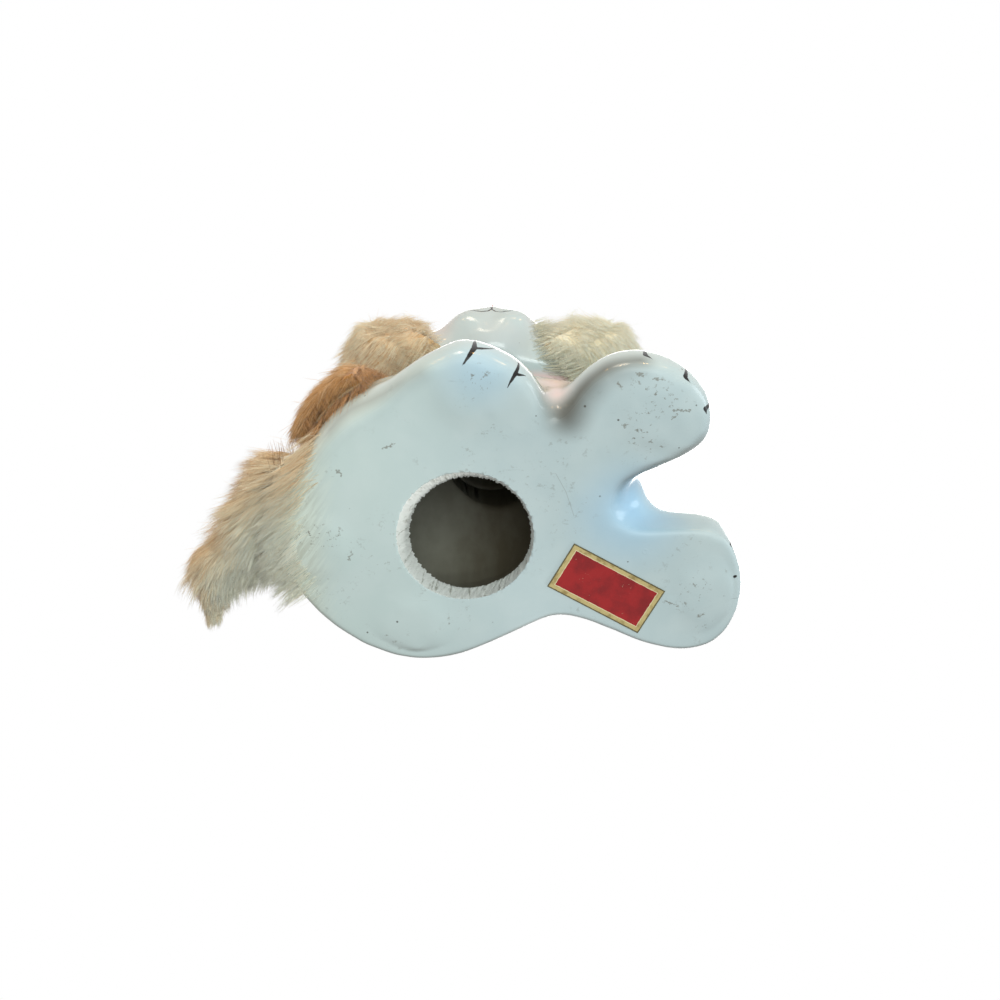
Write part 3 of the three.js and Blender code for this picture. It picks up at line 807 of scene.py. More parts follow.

# %% [markdown]
# ## Glaze of the body
# The glaze is white, written greyer than it is as painted shade, and it leans to green at the rear and to
# blue at the paws as a painted tint of the light, with a pink blush on the chest. A painted blue reflection
# lies between the forepaws and on the hind toe, and painted shade lies beside the near foreleg, along the
# left flank and low on the walls that face the rear. A film of fine hair clings to the left end of the sole.
# The sole was wiped before firing, so it is duller than the sides. It is scuffed and rubbed where it stood on
# shelves, and it has one fine crack.

# %% Whites, painted light and painted shade
# Both whites are written greyer than the glaze is, as painted shade; their lean from green at the rear to
# blue at the paws is a painted tint of the light.
REAR_WHITE_SHADED = srgb(202, 217, 210)
PAW_WHITE_SHADED = srgb(190, 206, 207)
WHITE_RUN = (-45 * MM, 35 * MM)
CLOUD_SCALE = 42.0
CLOUD_SHARE = 0.3
MILKY = srgb(216, 226, 224)
MILK_SCALE = 110.0
MILK_EDGE = (0.35, 0.7)
MILK_SHARE = 0.22
BLUSH = srgb(236, 204, 200)
CHEST_WIDTH = 1.6 * MM
CHEST = (from_hole(18.2, -26.5, 8), from_hole(18.2, -25.5, 21), CHEST_WIDTH, CHEST_WIDTH * 2)
CHEST_SOFTNESS = 6 * MM
# Painted reflection of cool light: soft blue sprayed between the forepaws and on the hind toe.
PAINTED_BLUE_REFLECTION = srgb(158, 204, 235)
BLUE_REFLECTION_SPRAYS = (((628, 505), 16 * MM, 0.7), ((478, 366), 12 * MM, 0.35))
# Painted shade beside the near foreleg and along the left flank, where the form turns away from the light.
PAINTED_PAW_SHADE = srgb(76, 68, 54)
PAW_SHADE_PIXELS = ((566, 414), (580, 392), (604, 370), (640, 360))
PAW_SHADE_WIDTH = 3.4 * MM
PAW_SHADE_SHARE = 0.85
PAINTED_GREY_SHADE = srgb(112, 106, 96)
HIND_SHADE_PIXELS = ((331, 428), (350, 410), (385, 393), (420, 374))
HIND_SHADE_WIDTH = 2.8 * MM
HIND_SHADE_SHARE = 0.45


def white_with_painted_light(place):
    rightness = fade(parts(place)[0], *WHITE_RUN)
    colour = tint(rightness + noise(place, CLOUD_SCALE) * CLOUD_SHARE, REAR_WHITE_SHADED, PAW_WHITE_SHADED)
    colour = tint(fade(noise(place, MILK_SCALE, detail=4.0), *MILK_EDGE) * MILK_SHARE, colour, MILKY)
    colour = painted(place, colour, [CHEST], BLUSH, CHEST_SOFTNESS)
    # Painted blue reflection, sprayed soft.
    for pixel, reach, share in BLUE_REFLECTION_SPRAYS:
        colour = tint(spray_mask(place, on_body(pixel), reach) * share, colour, PAINTED_BLUE_REFLECTION)
    return colour


def with_painted_shade(place, colour):
    # Painted shade strokes: first along the near foreleg, then along the hind paw's edge.
    grey = tint(PAW_SHADE_SHARE, colour, PAINTED_PAW_SHADE)
    paw_shade = body_line(PAW_SHADE_PIXELS, PAW_SHADE_WIDTH, PAW_SHADE_WIDTH / 3)
    colour = painted(place, colour, paw_shade, grey, PAW_SHADE_WIDTH)
    grey = tint(HIND_SHADE_SHARE, colour, PAINTED_GREY_SHADE)
    hind_shade = body_line(HIND_SHADE_PIXELS, HIND_SHADE_WIDTH / 2, HIND_SHADE_WIDTH / 4)
    return painted(place, colour, hind_shade, grey, HIND_SHADE_WIDTH)


# %% Film of hair
FILM = srgb(212, 220, 206)
FILM_SHADE = srgb(186, 188, 168)
FILM_COMB = unit(np.array([-0.55, 0.8, 0]))
FILM_RUN = (HOLE.x - 19 * MM, HOLE.x - 34 * MM)
FILM_TOP = 6 * MM
FILM_SCALE = 1300.0
FILM_EDGE = (0.7, 1.4)
FILM_GRAIN = (0.35, 0.6)
FILM_SHARE = 0.8


def with_film(place, colour):
    x, _, z = parts(place)
    strands = noise(combed_straight(place, FILM_COMB), FILM_SCALE, detail=4.0, roughness=0.65)
    left_end = fade(x, *FILM_RUN) * below(z, FILM_TOP, 2 * FILM_TOP)
    film = fade(strands + left_end, *FILM_EDGE) * left_end
    hairs = tint(fade(strands, *FILM_GRAIN), FILM_SHADE, FILM)
    return tint(film * FILM_SHARE, colour, hairs)


# %% Wear, and painted shade at the rear
SCUFF = srgb(120, 116, 104)
CONTACT = (0.4 * MM, 1.0 * MM)
WORN_SCALE = 75.0
WORN_EDGE = (0.47, 0.6)
SCUFF_SCALE = 800.0
SCUFF_EDGE = (0.57, 0.63)
SCUFF_SHARE = 0.75
RUB_PIXELS = [
    ((617, 383), (622, 388)),
    ((637, 373), (644, 375)),
    ((654, 379), (664, 380)),
    ((675, 410), (690, 411)),
    ((671, 419), (677, 415)),
    ((665, 602), (678, 606)),
    ((697, 617), (704, 614)),
    ((384, 448), (394, 444)),
    ((337, 471), (342, 475)),
]
RUB_WIDTH = 0.22 * MM
RUB_SOFTNESS = 0.1 * MM
RUB_SHARE = 0.7
GRIT_SCALE = 1600.0
GRIT_DETAIL = 3.0
GRIT_SHIFT = 1.6 * MM
CRACK_PIXELS = ((556, 474), (566, 492), (574, 516))
CRACK_WIDTH = 0.05 * MM
CRACK_SHARE = 0.4
# Painted shade low on the walls that face the rear, away from the light.
REAR_SHADE_LOW = (1.5 * MM, 5 * MM)
REAR_SHADE_FACING = (0.1, 0.6)
REAR_SHADE_SHARE = 0.5


def scuffs_on(place):
    contact = below(parts(place)[2], *CONTACT)
    worn = fade(noise(place, WORN_SCALE, detail=2.0), *WORN_EDGE)
    return contact * (worn * fade(noise(place, SCUFF_SCALE, detail=5.0, roughness=0.75), *SCUFF_EDGE))


def rubbed_and_cracked(place, colour):
    centred = vector("SUBTRACT", place, (GRIT_SHIFT / 2,) * 3)
    gritty = shaken(place, GRIT_SCALE, GRIT_DETAIL, GRIT_SHIFT, centred)
    rubs = [stroke for pixels in RUB_PIXELS for stroke in body_line(pixels, RUB_WIDTH, RUB_WIDTH)]
    colour = painted(gritty, colour, rubs, tint(RUB_SHARE, colour, SCUFF), RUB_SOFTNESS)
    crack = body_line(CRACK_PIXELS, CRACK_WIDTH, CRACK_WIDTH)
    return painted(place, colour, crack, tint(CRACK_SHARE, colour, SCUFF))


# %% Body glaze
DIRT = srgb(70, 66, 58)
DIRT_SHARE = 0.85
PAINT = srgb(18, 16, 14)
WOBBLE_SCALE = 900.0
WOBBLE_DETAIL = 2.0
WOBBLE_SHIFT = 0.2 * MM
SOLE = (0.4 * MM, 2.2 * MM)
SIDE_ROUGHNESS = 0.17
SOLE_ROUGHNESS = 0.5
SCUFF_ROUGHNESS = 0.8
GLAZE_BUMP = (0.16, 0.8 * MM)
GLAZE_SPECULAR = 0.35


def shaky(place):
    return shaken(place, WOBBLE_SCALE, WOBBLE_DETAIL, WOBBLE_SHIFT, place)


def body_glaze(material):
    shader = open_material(material)
    place = place_on(shader)
    z = parts(place)[2]
    colour = with_film(place, with_painted_shade(place, white_with_painted_light(place)))
    dirt, height = flaws(place)
    scuffs = scuffs_on(place)
    colour = tint(dirt * DIRT_SHARE, colour, DIRT)
    colour = tint(scuffs * SCUFF_SHARE, colour, SCUFF)
    colour = rubbed_and_cracked(place, colour)
    # Painted shade low on the walls that face the rear.
    rearward = parts(source(shader, "NewGeometry", "Normal"))[1]
    rear = fade(rearward, *REAR_SHADE_FACING) * below(z, *REAR_SHADE_LOW)
    colour = tint(rear * REAR_SHADE_SHARE, colour, PAINTED_GREY_SHADE)
    colour = painted(shaky(place), colour, claws, PAINT)
    dull = fade(below(z, *SOLE), 0.0, 1.0, SIDE_ROUGHNESS, SOLE_ROUGHNESS)
    dull = calc("MAXIMUM", dull, scuffs * SCUFF_ROUGHNESS)
    finish(shader, colour, dull, Specular_IOR_Level=GLAZE_SPECULAR, Normal=bump(height, *GLAZE_BUMP))


body_glaze(glaze_slot)
print("body glaze:", len(glaze_slot.node_tree.nodes), "nodes")

# %% [markdown]
# ## Bare clays
# The knife-cut wall is unglazed: chalky white with grey streaks that run down it. The hollow is browner,
# with vertical streaks where the slip ran down as it was poured out, and painted shade that dims it towards
# +x.

# %% Cut wall
CUT_WHITE = srgb(232, 236, 230)
CUT_GREY = srgb(160, 162, 150)
CUT_STRETCH = 0.12
CUT_SCALE = 1300.0
CUT_GRAIN_SCALE = 1500.0
CUT_GRAIN_SHARE = 0.4
CUT_STREAK_EDGE = (0.72, 0.95)
CUT_ROUGHNESS = 0.85
CUT_BUMP = (0.8, 0.4 * MM)


def knife_cut_clay(material):
    shader = open_material(material)
    place = place_on(shader)
    x, y, z = parts(vector("SUBTRACT", place, tuple(HOLE)))
    bearing = calc("ARCTAN2", y, x)
    round_the_wall = add("CombineXYZ", {"X": bearing * HOLE_RADIUS, "Y": z * CUT_STRETCH})
    flutes = noise(round_the_wall, CUT_SCALE, detail=3.0, roughness=0.6)
    grain = noise(place, CUT_GRAIN_SCALE, detail=4.0, roughness=0.7)
    # Grey in streaks that run down the wall, from the same noise as the fluted bump.
    grey_streaks = fade(grain * CUT_GRAIN_SHARE + flutes, *CUT_STREAK_EDGE)
    finish(shader, tint(grey_streaks, CUT_WHITE, CUT_GREY), CUT_ROUGHNESS, Normal=bump(flutes, *CUT_BUMP))


knife_cut_clay(cut_clay)
print("cut wall:", len(cut_clay.node_tree.nodes), "nodes")

# %% Hollow
# Colours of the hollow on its side towards the lamps and in painted shade away from them.
HOLLOW_SHADED = srgb(80, 73, 56)
HOLLOW_LIT = srgb(126, 125, 112)
HOLLOW_SHADE_RUN = (HOLE.x - 14 * MM, HOLE.x + 12 * MM)
SLIP_STRETCH = (260.0, 260.0, 14.0)
SLIP_EDGE = (0.3, 0.7)
SLIP_SHARE = 0.12
SLIP_ROUGHNESS = 0.7
SLIP_BUMP = (0.2, 0.3 * MM)


def inner_clay_finish(material):
    shader = open_material(material)
    place = place_on(shader)
    streaks = noise(add("Mapping", {"Vector": place, "Scale": SLIP_STRETCH}), 1.0)
    # Painted shade that dims the hollow along x, with the streaks of slip over it.
    darker = fade(parts(place)[0], *HOLLOW_SHADE_RUN) + fade(streaks, *SLIP_EDGE, -SLIP_SHARE, SLIP_SHARE)
    colour = tint(darker, HOLLOW_LIT, HOLLOW_SHADED)
    finish(shader, colour, SLIP_ROUGHNESS, Normal=bump(streaks, *SLIP_BUMP))


inner_clay_finish(inner_clay)
print("hollow:", len(inner_clay.node_tree.nodes), "nodes")

# %% [markdown]
# ## Painted face
# The face looks away from the camera, so only its chin shows from below. It is painted as such figurines
# are: soft green eyes with a dark upper lid and lashes, a pink nose, a thin mouth, freckles, and pink
# inside the ears. Its lines are given in mm across and up from the middle of the face, for one side.

# %% Face strokes
PHILTRUM = ((0, -1.8), (0, -4.6))
SMILE = ((0, -4.6), (0.8, -5.6), (2.2, -6.1), (3.6, -5.8), (4.6, -5))
LID = ((4.6, 3.4), (5.3, 5), (6.6, 6.1), (8.2, 6.5), (11.6, 5.2))
LASHES = (((9.2, 6.2), (10.4, 8.6)), ((10.4, 5.8), (12.4, 7.8)), ((11.2, 5.2), (13.6, 6.4)))
BROW = ((5.2, 10.2), (7, 10.8), (9, 10.4))
PUPIL = ((7.8, 4.6), (7.8, 0.6))
FRECKLES = ((4.2, -2.4), (6.2, -1.8), (5.4, -3.6))
FRECKLE_LENGTH = 0.1
NOSE_TOP = ((-1.4, 0.6), (1.4, 0.6))
NOSE_RIDGE = ((0, 0.6), (0, -1.4))
LINE_WIDTH = 0.2 * MM
LID_WIDTH = 0.5 * MM
HAIRLINE = 0.14 * MM
LASH_WIDTH = 0.26 * MM
BRUSH_TIP = 0.08 * MM
PUPIL_WIDTH = 0.85 * MM
NOSE_WIDTH = 1.2 * MM
NOSE_TIP = 0.3 * MM


def face_line(points, start_width, end_width, side=1):
    places = [on_face(face_skin, side * across * MM, up * MM)[0] for across, up in points]
    return line_through(places, start_width, end_width)


face_strokes = face_line(PHILTRUM, LINE_WIDTH, LINE_WIDTH)
freckles = []
pupils = []
for side in (-1, 1):
    face_strokes += face_line(SMILE, LINE_WIDTH, HAIRLINE, side)
    face_strokes += face_line(LID, HAIRLINE, LID_WIDTH, side)
    for lash in LASHES:
        face_strokes += face_line(lash, LASH_WIDTH, BRUSH_TIP, side)
    face_strokes += face_line(BROW, LINE_WIDTH, BRUSH_TIP, side)
    pupils += face_line(PUPIL, PUPIL_WIDTH, PUPIL_WIDTH, side)
    for across, up in FRECKLES:
        freckles += face_line([(across, up), (across, up - FRECKLE_LENGTH)], LINE_WIDTH, LINE_WIDTH, side)
nose = face_line(NOSE_TOP, NOSE_WIDTH, NOSE_WIDTH) + face_line(NOSE_RIDGE, NOSE_WIDTH, NOSE_TIP)
print(len(face_strokes), "face strokes")

# %% Head glaze
# The head's white is greyer than the body's: painted shade, for a muzzle that faces away from the light.
FACE_WHITE_SHADED = srgb(190, 198, 198)
FACE_CLOUDS = (0.3, 0.7)
IRIS = srgb(112, 158, 124)
IRIS_DARK = srgb(62, 98, 80)
IRIS_RADIUS = 3.1 * MM
IRIS_RIM = 0.5 * MM
IRIS_SOFTNESS = 0.6 * MM
RIM_SOFTNESS = 0.15 * MM
GLINT_WHITE = srgb(250, 250, 246)
GLINT_RADIUS = 0.75 * MM
GLINT_ACROSS = 1 * MM
GLINT_UP = 1.4 * MM
NOSE_PINK = srgb(222, 140, 136)
NOSE_SOFTNESS = 0.2 * MM
EAR_PINK = srgb(238, 178, 168)
EAR_PLACE = (12.8 * MM, 16 * MM)
EAR_REACH = 8 * MM
EAR_SHARE = 0.85
FORWARD = (-0.3, 0.2)
CHEEK_PLACE = (11 * MM, -6 * MM)
CHEEK_REACH = 7 * MM
CHEEK_SHARE = 0.3
THROAT_WIDTH = 2.2 * MM
THROAT = (from_hole(13, -16.8, 44.3), from_hole(22, -16.8, 44.6), THROAT_WIDTH, THROAT_WIDTH)
THROAT_SOFTNESS = 1.4 * MM
FACE_PAINT = srgb(44, 34, 28)
FACE_DIRT_SHARE = 0.6
DIRT_ROUGHNESS = 0.5


def both_sides(across, up, shift=0):
    return [on_face(face_skin, side * across + shift, up)[0] for side in (-1, 1)]


def dot(centre, radius):
    return (centre, centre, radius, radius)


def head_glaze(material):
    shader = open_material(material)
    place = place_on(shader)
    colour = tint(fade(noise(place, CLOUD_SCALE), *FACE_CLOUDS), FACE_WHITE_SHADED, PAW_WHITE_SHADED)
    forward = below(parts(source(shader, "NewGeometry", "Normal"))[1], *FORWARD)
    for centre in both_sides(*EAR_PLACE):
        colour = tint(spray_mask(place, centre, EAR_REACH) * forward * EAR_SHARE, colour, EAR_PINK)
    for centre in both_sides(*CHEEK_PLACE):
        colour = tint(spray_mask(place, centre, CHEEK_REACH) * CHEEK_SHARE, colour, BLUSH)
    colour = painted(place, colour, [THROAT], BLUSH, THROAT_SOFTNESS)
    dirt, height = flaws(place)
    colour = tint(dirt * FACE_DIRT_SHARE, colour, DIRT)
    brush = shaky(place)
    for centre in both_sides(EYE_ACROSS, EYE_UP):
        colour = painted(brush, colour, [dot(centre, IRIS_RADIUS)], IRIS_DARK, RIM_SOFTNESS)
        colour = painted(brush, colour, [dot(centre, IRIS_RADIUS - IRIS_RIM)], IRIS, IRIS_SOFTNESS)
    colour = painted(brush, colour, pupils, PAINT)
    glints = both_sides(EYE_ACROSS, EYE_UP + GLINT_UP, GLINT_ACROSS)
    colour = painted(brush, colour, [dot(centre, GLINT_RADIUS) for centre in glints], GLINT_WHITE)
    colour = painted(brush, colour, nose, NOSE_PINK, NOSE_SOFTNESS)
    colour = painted(brush, colour, face_strokes + freckles, FACE_PAINT)
    dull = fade(dirt, 0.0, 1.0, SIDE_ROUGHNESS, DIRT_ROUGHNESS)
    finish(shader, colour, dull, Normal=bump(height, *GLAZE_BUMP))


head_glaze(head.data.materials[0])
print("head glaze:", len(head.data.materials[0].node_tree.nodes), "nodes")

# %% [markdown]
# ## Foil label
# A small paper label with a red foil face and a gold border is stuck beside the drain hole. Its field is
# bare. The label's solid gives its place, turn and size. A grid of that size is pressed on to the base by a
# projecting shrinkwrap, so that it follows the clay as paper does, and then gets its thickness.

# %% Press the label on
LABEL_STANDS = 0.03 * MM
LABEL_THICK = 0.13 * MM
LABEL_GRID = (42, 22)
LABEL_START = -2 * MM
label_points = points_of(frame["nodes"]["foil_label"].data)
label_middle = (label_points.min(axis=0) + label_points.max(axis=0)) / 2
right_corner = label_points[np.argmax(label_points[:, 0])]
ends = [label_points[pick(label_points[:, 1])] for pick in (np.argmin, np.argmax)]
edges = sorted((end - right_corner for end in ends), key=lambda edge: np.linalg.norm(edge[:2]))
label_width, label_length = (float(np.linalg.norm(edge[:2])) for edge in edges)
label_turn = math.atan2(-edges[1][1], -edges[1][0])

label = added(
    bpy.ops.mesh.primitive_grid_add, "foil_paper_label", x_subdivisions=LABEL_GRID[0],
    y_subdivisions=LABEL_GRID[1], size=1, location=(label_middle[0], label_middle[1], LABEL_START))
label.scale = (label_length, label_width, 1)
label.rotation_euler = (0, 0, label_turn)
settle()
apply_modifier(
    label, "SHRINKWRAP", target=body, wrap_method="PROJECT", use_project_z=True, use_positive_direction=True)
for vertex in label.data.vertices:
    vertex.co.z -= LABEL_STANDS
in_edit_mode(label)
bpy.ops.mesh.flip_normals()
object_mode()
apply_modifier(label, "SOLIDIFY", thickness=LABEL_THICK, offset=1)
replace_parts(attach(label, "root"), "foil_label")
report(label)
print("label turned", round(math.degrees(label_turn), 1), "degrees")

# %% Foil finish
FOIL_RED = srgb(158, 22, 24)
FOIL_DARK_RED = srgb(128, 14, 18)
FOIL_GOLD = srgb(190, 174, 120)
FOIL_DULL_GOLD = srgb(150, 132, 84)
FOIL_PALE = srgb(226, 214, 178)
PAPER_EDGE = srgb(52, 50, 34)
HALF = 0.5
BORDER = 0.98 * MM
KEY_LINE = 0.14 * MM
KEY_SOFTNESS = 0.08 * MM
EDGE_LINE = 0.2 * MM
EDGE_FADE = 0.1 * MM
LINE_SHARE = 0.8
PRINT_SCALE = 1400.0
PRINT_SHIFT = 0.25 * MM
CRINKLE_SCALE = 260.0
CRINKLE_RED = (0.35, 0.65)
CRINKLE_DULL = (0.3, 0.7, 0.3, 0.5)
CRINKLE_BUMP = (0.25, 0.2 * MM)
GOLD_SCALE = 700.0
GOLD_EDGE = (0.45, 0.7)
SCAR_SCALE = 1900.0
SCAR_EDGE = (0.64, 0.69)
SCAR_PATCH_SCALE = 190.0
SCAR_PATCH = (0.45, 0.6)
SCAR_SHARE = 0.6
GOLD_METAL = 0.55
RED_METAL = 0.25


def label_inset(shader, place):
    """Distance from the nearest edge of the label, unsteady as cheap print is."""
    corner = parts(source(shader, "UVMap", "UV", uv_map=label.data.uv_layers[0].name))
    insets = []
    for share, side in zip(corner, (label_length, label_width)):
        insets.append(calc("SUBTRACT", HALF, calc("ABSOLUTE", share - HALF)) * side)
    return calc("MINIMUM", *insets) + (noise(place, PRINT_SCALE) - HALF) * PRINT_SHIFT


def foil_finish(material):
    shader = open_material(material)
    place = place_on(shader)
    inset = label_inset(shader, place)
    field = fade(inset, BORDER + KEY_LINE, BORDER + KEY_LINE + KEY_SOFTNESS)
    line = fade(inset, BORDER, BORDER + KEY_SOFTNESS) - field
    edge = below(inset, EDGE_LINE, EDGE_LINE + EDGE_FADE)
    crinkle = noise(place, CRINKLE_SCALE, detail=4.0, roughness=0.6)
    red = tint(fade(crinkle, *CRINKLE_RED), FOIL_RED, FOIL_DARK_RED)
    gold = tint(fade(noise(place, GOLD_SCALE, detail=4.0), *GOLD_EDGE), FOIL_GOLD, FOIL_DULL_GOLD)
    colour = tint(field, gold, red)
    colour = tint(line * LINE_SHARE, colour, FOIL_PALE)
    colour = tint(edge * LINE_SHARE, colour, PAPER_EDGE)
    scars = fade(noise(place, SCAR_SCALE, detail=4.0, roughness=0.75), *SCAR_EDGE)
    worn = scars * fade(noise(place, SCAR_PATCH_SCALE, detail=2.0), *SCAR_PATCH)
    colour = tint(worn * SCAR_SHARE, colour, FOIL_PALE)
    shine = calc("SUBTRACT", 1.0, worn) * fade(field, 0.0, 1.0, GOLD_METAL, RED_METAL)
    dull = fade(crinkle, *CRINKLE_DULL)
    finish(shader, colour, dull, Metallic=shine, Normal=bump(crinkle, *CRINKLE_BUMP))


foil = bpy.data.materials.new("foil paper")
foil_finish(foil)
label.data.materials.clear()
label.data.materials.append(foil)
print("foil:", len(foil.node_tree.nodes), "nodes")

# %% [markdown]
# ## Tanned hides
# The fur is still on its skin: a thin tanned hide that was cut to shape and glued on. Only its cut edges
# show, so the hides of the frame stay as they are and get a suede finish with a fine, fibrous grain.

# %% Suede
HIDES = ("cheek_hide_left", "cheek_hide_right", "back_hide", "tail_hide")
SUEDE_PALE = srgb(226, 206, 170)
SUEDE_TAN = srgb(200, 176, 136)
SUEDE_BROWN = srgb(172, 146, 108)
SUEDE_SCALE = 900.0
SUEDE_PATCH_SCALE = 140.0
SUEDE_PATCH = (0.3, 0.7)
SUEDE_GRAIN = (0.5, 0.75)
SUEDE_DULL = (0.3, 0.7, 0.75, 0.95)
SUEDE_BUMP = (0.5, 0.2 * MM)


def suede(material):
    shader = open_material(material)
    place = place_on(shader)
    grain = noise(place, SUEDE_SCALE, detail=5.0, roughness=0.7)
    colour = tint(fade(noise(place, SUEDE_PATCH_SCALE), *SUEDE_PATCH), SUEDE_PALE, SUEDE_TAN)
    colour = tint(fade(grain, *SUEDE_GRAIN), colour, SUEDE_BROWN)
    finish(shader, colour, fade(grain, *SUEDE_DULL), Normal=bump(grain, *SUEDE_BUMP))


hide_finish = bpy.data.materials.new("suede hide")
suede(hide_finish)
for node in HIDES:
    strip = frame["nodes"][node]
    strip.data.materials.clear()
    strip.data.materials.append(hide_finish)
print("suede on", HIDES)

# %% [markdown]
# ## How the fur is built
# Under the long hair of a pelt lies a dense, soft undercoat. Hair alone would let light through to the
# hide, so each strip gets two things: an undercoat, which is a lumpy copy of its solid, and thousands of
# single hairs. The undercoat is drawn in towards the hide, so that the hair on it ends about where the
# solid does.

# %% Middle line of the tail
TAIL_LINE = rows_from_hole([
    (-26, 2, 13.5),
    (-33, 2.4, 13),
    (-39.5, 3.8, 11.5),
    (-44.5, 6.6, 10.5),
    (-49, 10.4, 9.5),
    (-51.6, 14.8, 8),
    (-51, 21, 7),
])
TAIL_REACH = np.array([21, 16.5, 9, 5, 5.2, 1.6, 1.2]) * MM


def tail_spot(place):
    """Nearest place on the tail's middle line, with the line's direction and the reach of its front there."""
    best = np.full(len(place), np.inf)
    spot = np.empty_like(place)
    course = np.empty_like(place)
    reach = np.empty(len(place))
    for k, start in enumerate(TAIL_LINE[:-1]):
        run = TAIL_LINE[k + 1] - start
        share = np.clip(((place - start) @ run) / (run @ run), 0, 1)
        foot = start + share[:, None] * run
        away = np.linalg.norm(place - foot, axis=1)
        closer = away < best
        best = np.where(closer, away, best)
        spot[closer] = foot[closer]
        course[closer] = unit(run[None])[0]
        reach[closer] = (TAIL_REACH[k] + share * (TAIL_REACH[k + 1] - TAIL_REACH[k]))[closer]
    return spot, course, reach


print("tail line in mm:", (TAIL_LINE / MM).round(1).tolist())

# %% Undercoats
HAIR_SHARE = {"cheek_fur": 0.06, "back_fur": 0.2, "tail_fur": 0.36}
LUMP_SIZE = 3.2 * MM
LUMP_HEIGHT = 0.9 * MM
LUMP_LEVEL = 0.6
BLEND_REACH = 10 * MM
COAT_VOXEL = 0.8 * MM
COAT_ROUNDS = 6
FURS = {
    "cheek_fur_left": "cheek_fur",
    "cheek_fur_right": "cheek_fur",
    "back_fur": "back_fur",
    "tail_fur": "tail_fur",
}
lumps = bpy.data.textures.new("undercoat lumps", "CLOUDS")
lumps.noise_scale = LUMP_SIZE
lumps.noise_depth = 2


def drawn_to_the_tail(places):
    """The tail's fur drawn in by a share at its rear, and to its reach at its front and its left."""
    spot, _, reach = tail_spot(places)
    away = np.linalg.norm(places - spot, axis=1)
    out = unit(places - spot)
    front = np.clip(-out[:, :2].min(axis=1), -1, 1)
    limit = reach + (1 - np.clip(2 * front, 0, 1)) * BLEND_REACH
    away = np.minimum(away * (1 - HAIR_SHARE["tail_fur"] * (0.5 - 0.5 * front)), limit)
    return spot + out * away[:, None]


def drawn_to_the_hide(places, node, slot):
    tree = skin_tree(frame["nodes"][node.replace("fur", "hide")])
    feet = np.array([tree.find_nearest(place)[0] for place in places.tolist()])
    return places + (feet - places) * HAIR_SHARE[slot]


def undercoat(node, slot):
    piece = merged_copy(node, node.replace("fur", "undercoat"))
    smoothed(piece, COAT_VOXEL, COAT_ROUNDS)
    places = points_of(piece.data)
    drawn = drawn_to_the_tail(places) if node == "tail_fur" else drawn_to_the_hide(places, node, slot)
    piece.data.vertices.foreach_set("co", drawn.ravel())
    apply_modifier(
        piece, "DISPLACE", texture=lumps, texture_coords="LOCAL", strength=LUMP_HEIGHT, mid_level=LUMP_LEVEL)
    shade_smooth(piece)
    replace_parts(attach(piece, "root"), node)
    report(piece)
    return piece


undercoats = {node: undercoat(node, slot) for node, slot in FURS.items()}

# %% [markdown]
# ## Colour of the undercoat
# The undercoat shows between the hairs, so it is streaked the way the hair is combed: noise that is
# stretched along the hair. Round the face the hair runs outwards, so there the streaks are stretched away
# from the middle of the face; on the back and on the tail they run straight.

# %% Combed wool
FACE_ROUND = 22 * MM
BACK_COMB = unit(np.array([-0.35, 0.75, -0.5]))
TAIL_COMB = unit(np.array([-0.18, 0.97, -0.05]))
STREAK_SCALE = 1500.0
TUFT_SCALE = 230.0
TUFT_SHARE = 0.7
WOOL_EDGE = (0.62, 1.12)
WOOL_DULL = (0.3, 0.7, 0.75, 1.0)
WOOL_SHEEN = 0.3
WOOL_BUMP = (0.9, 0.4 * MM)


def round_the_face(place):
    x, y, z = parts(vector("SUBTRACT", place, tuple(FACE)))
    away = vector("LENGTH", add("CombineXYZ", {"X": x, "Y": z}), output="Value")
    sockets = {"X": calc("ARCTAN2", z, x) * FACE_ROUND, "Y": y, "Z": away * STRETCH}
    return add("CombineXYZ", sockets)


def down_the_back_wool(place):
    return combed_straight(place, BACK_COMB)


def along_the_tail_wool(place):
    return combed_straight(place, TAIL_COMB)


def wool(material, lay, dark, light):
    shader = open_material(material)
    place = place_on(shader)
    streaks = noise(lay(place), STREAK_SCALE, detail=4.0, roughness=0.65)
    mix = fade(streaks + noise(place, TUFT_SCALE) * TUFT_SHARE, *WOOL_EDGE)
    dull = fade(streaks, *WOOL_DULL)
    finish(shader, tint(mix, dark, light), dull, Sheen_Weight=WOOL_SHEEN, Normal=bump(streaks, *WOOL_BUMP))


# The right cheek's wool is near white: partly its own cream, partly painted light.
WOOLS = {
    "cheek_fur_left": (round_the_face, srgb(214, 174, 120), srgb(246, 222, 186)),
    "cheek_fur_right": (round_the_face, srgb(242, 230, 194), srgb(252, 248, 230)),
    "back_fur": (down_the_back_wool, srgb(166, 112, 56), srgb(216, 162, 98)),
    "tail_fur": (along_the_tail_wool, srgb(228, 212, 176), srgb(250, 248, 234)),
}
for node, (lay, dark, light) in WOOLS.items():
    coat_finish = bpy.data.materials.new(node.replace("_", " ") + " undercoat")
    wool(coat_finish, lay, dark, light)
    undercoats[node].data.materials.append(coat_finish)
print("wool on", list(WOOLS))

# %% [markdown]
# ## Growing hair
# A hair is a thin, three-sided taper of four joints. For each strip, roots are scattered over the
# undercoat. From there each hair takes four steps along the flow, lifted a little off the strip, and then
# leans towards the nearest guide hair, which makes tufts. The hair's own map stores its tone across and its
# root-to-tip run upwards, so one material can colour all of them.

# %% Scatter and comb
JOINTS = 4
LIFT_LOSS = 0.6
BLOCK = 2000


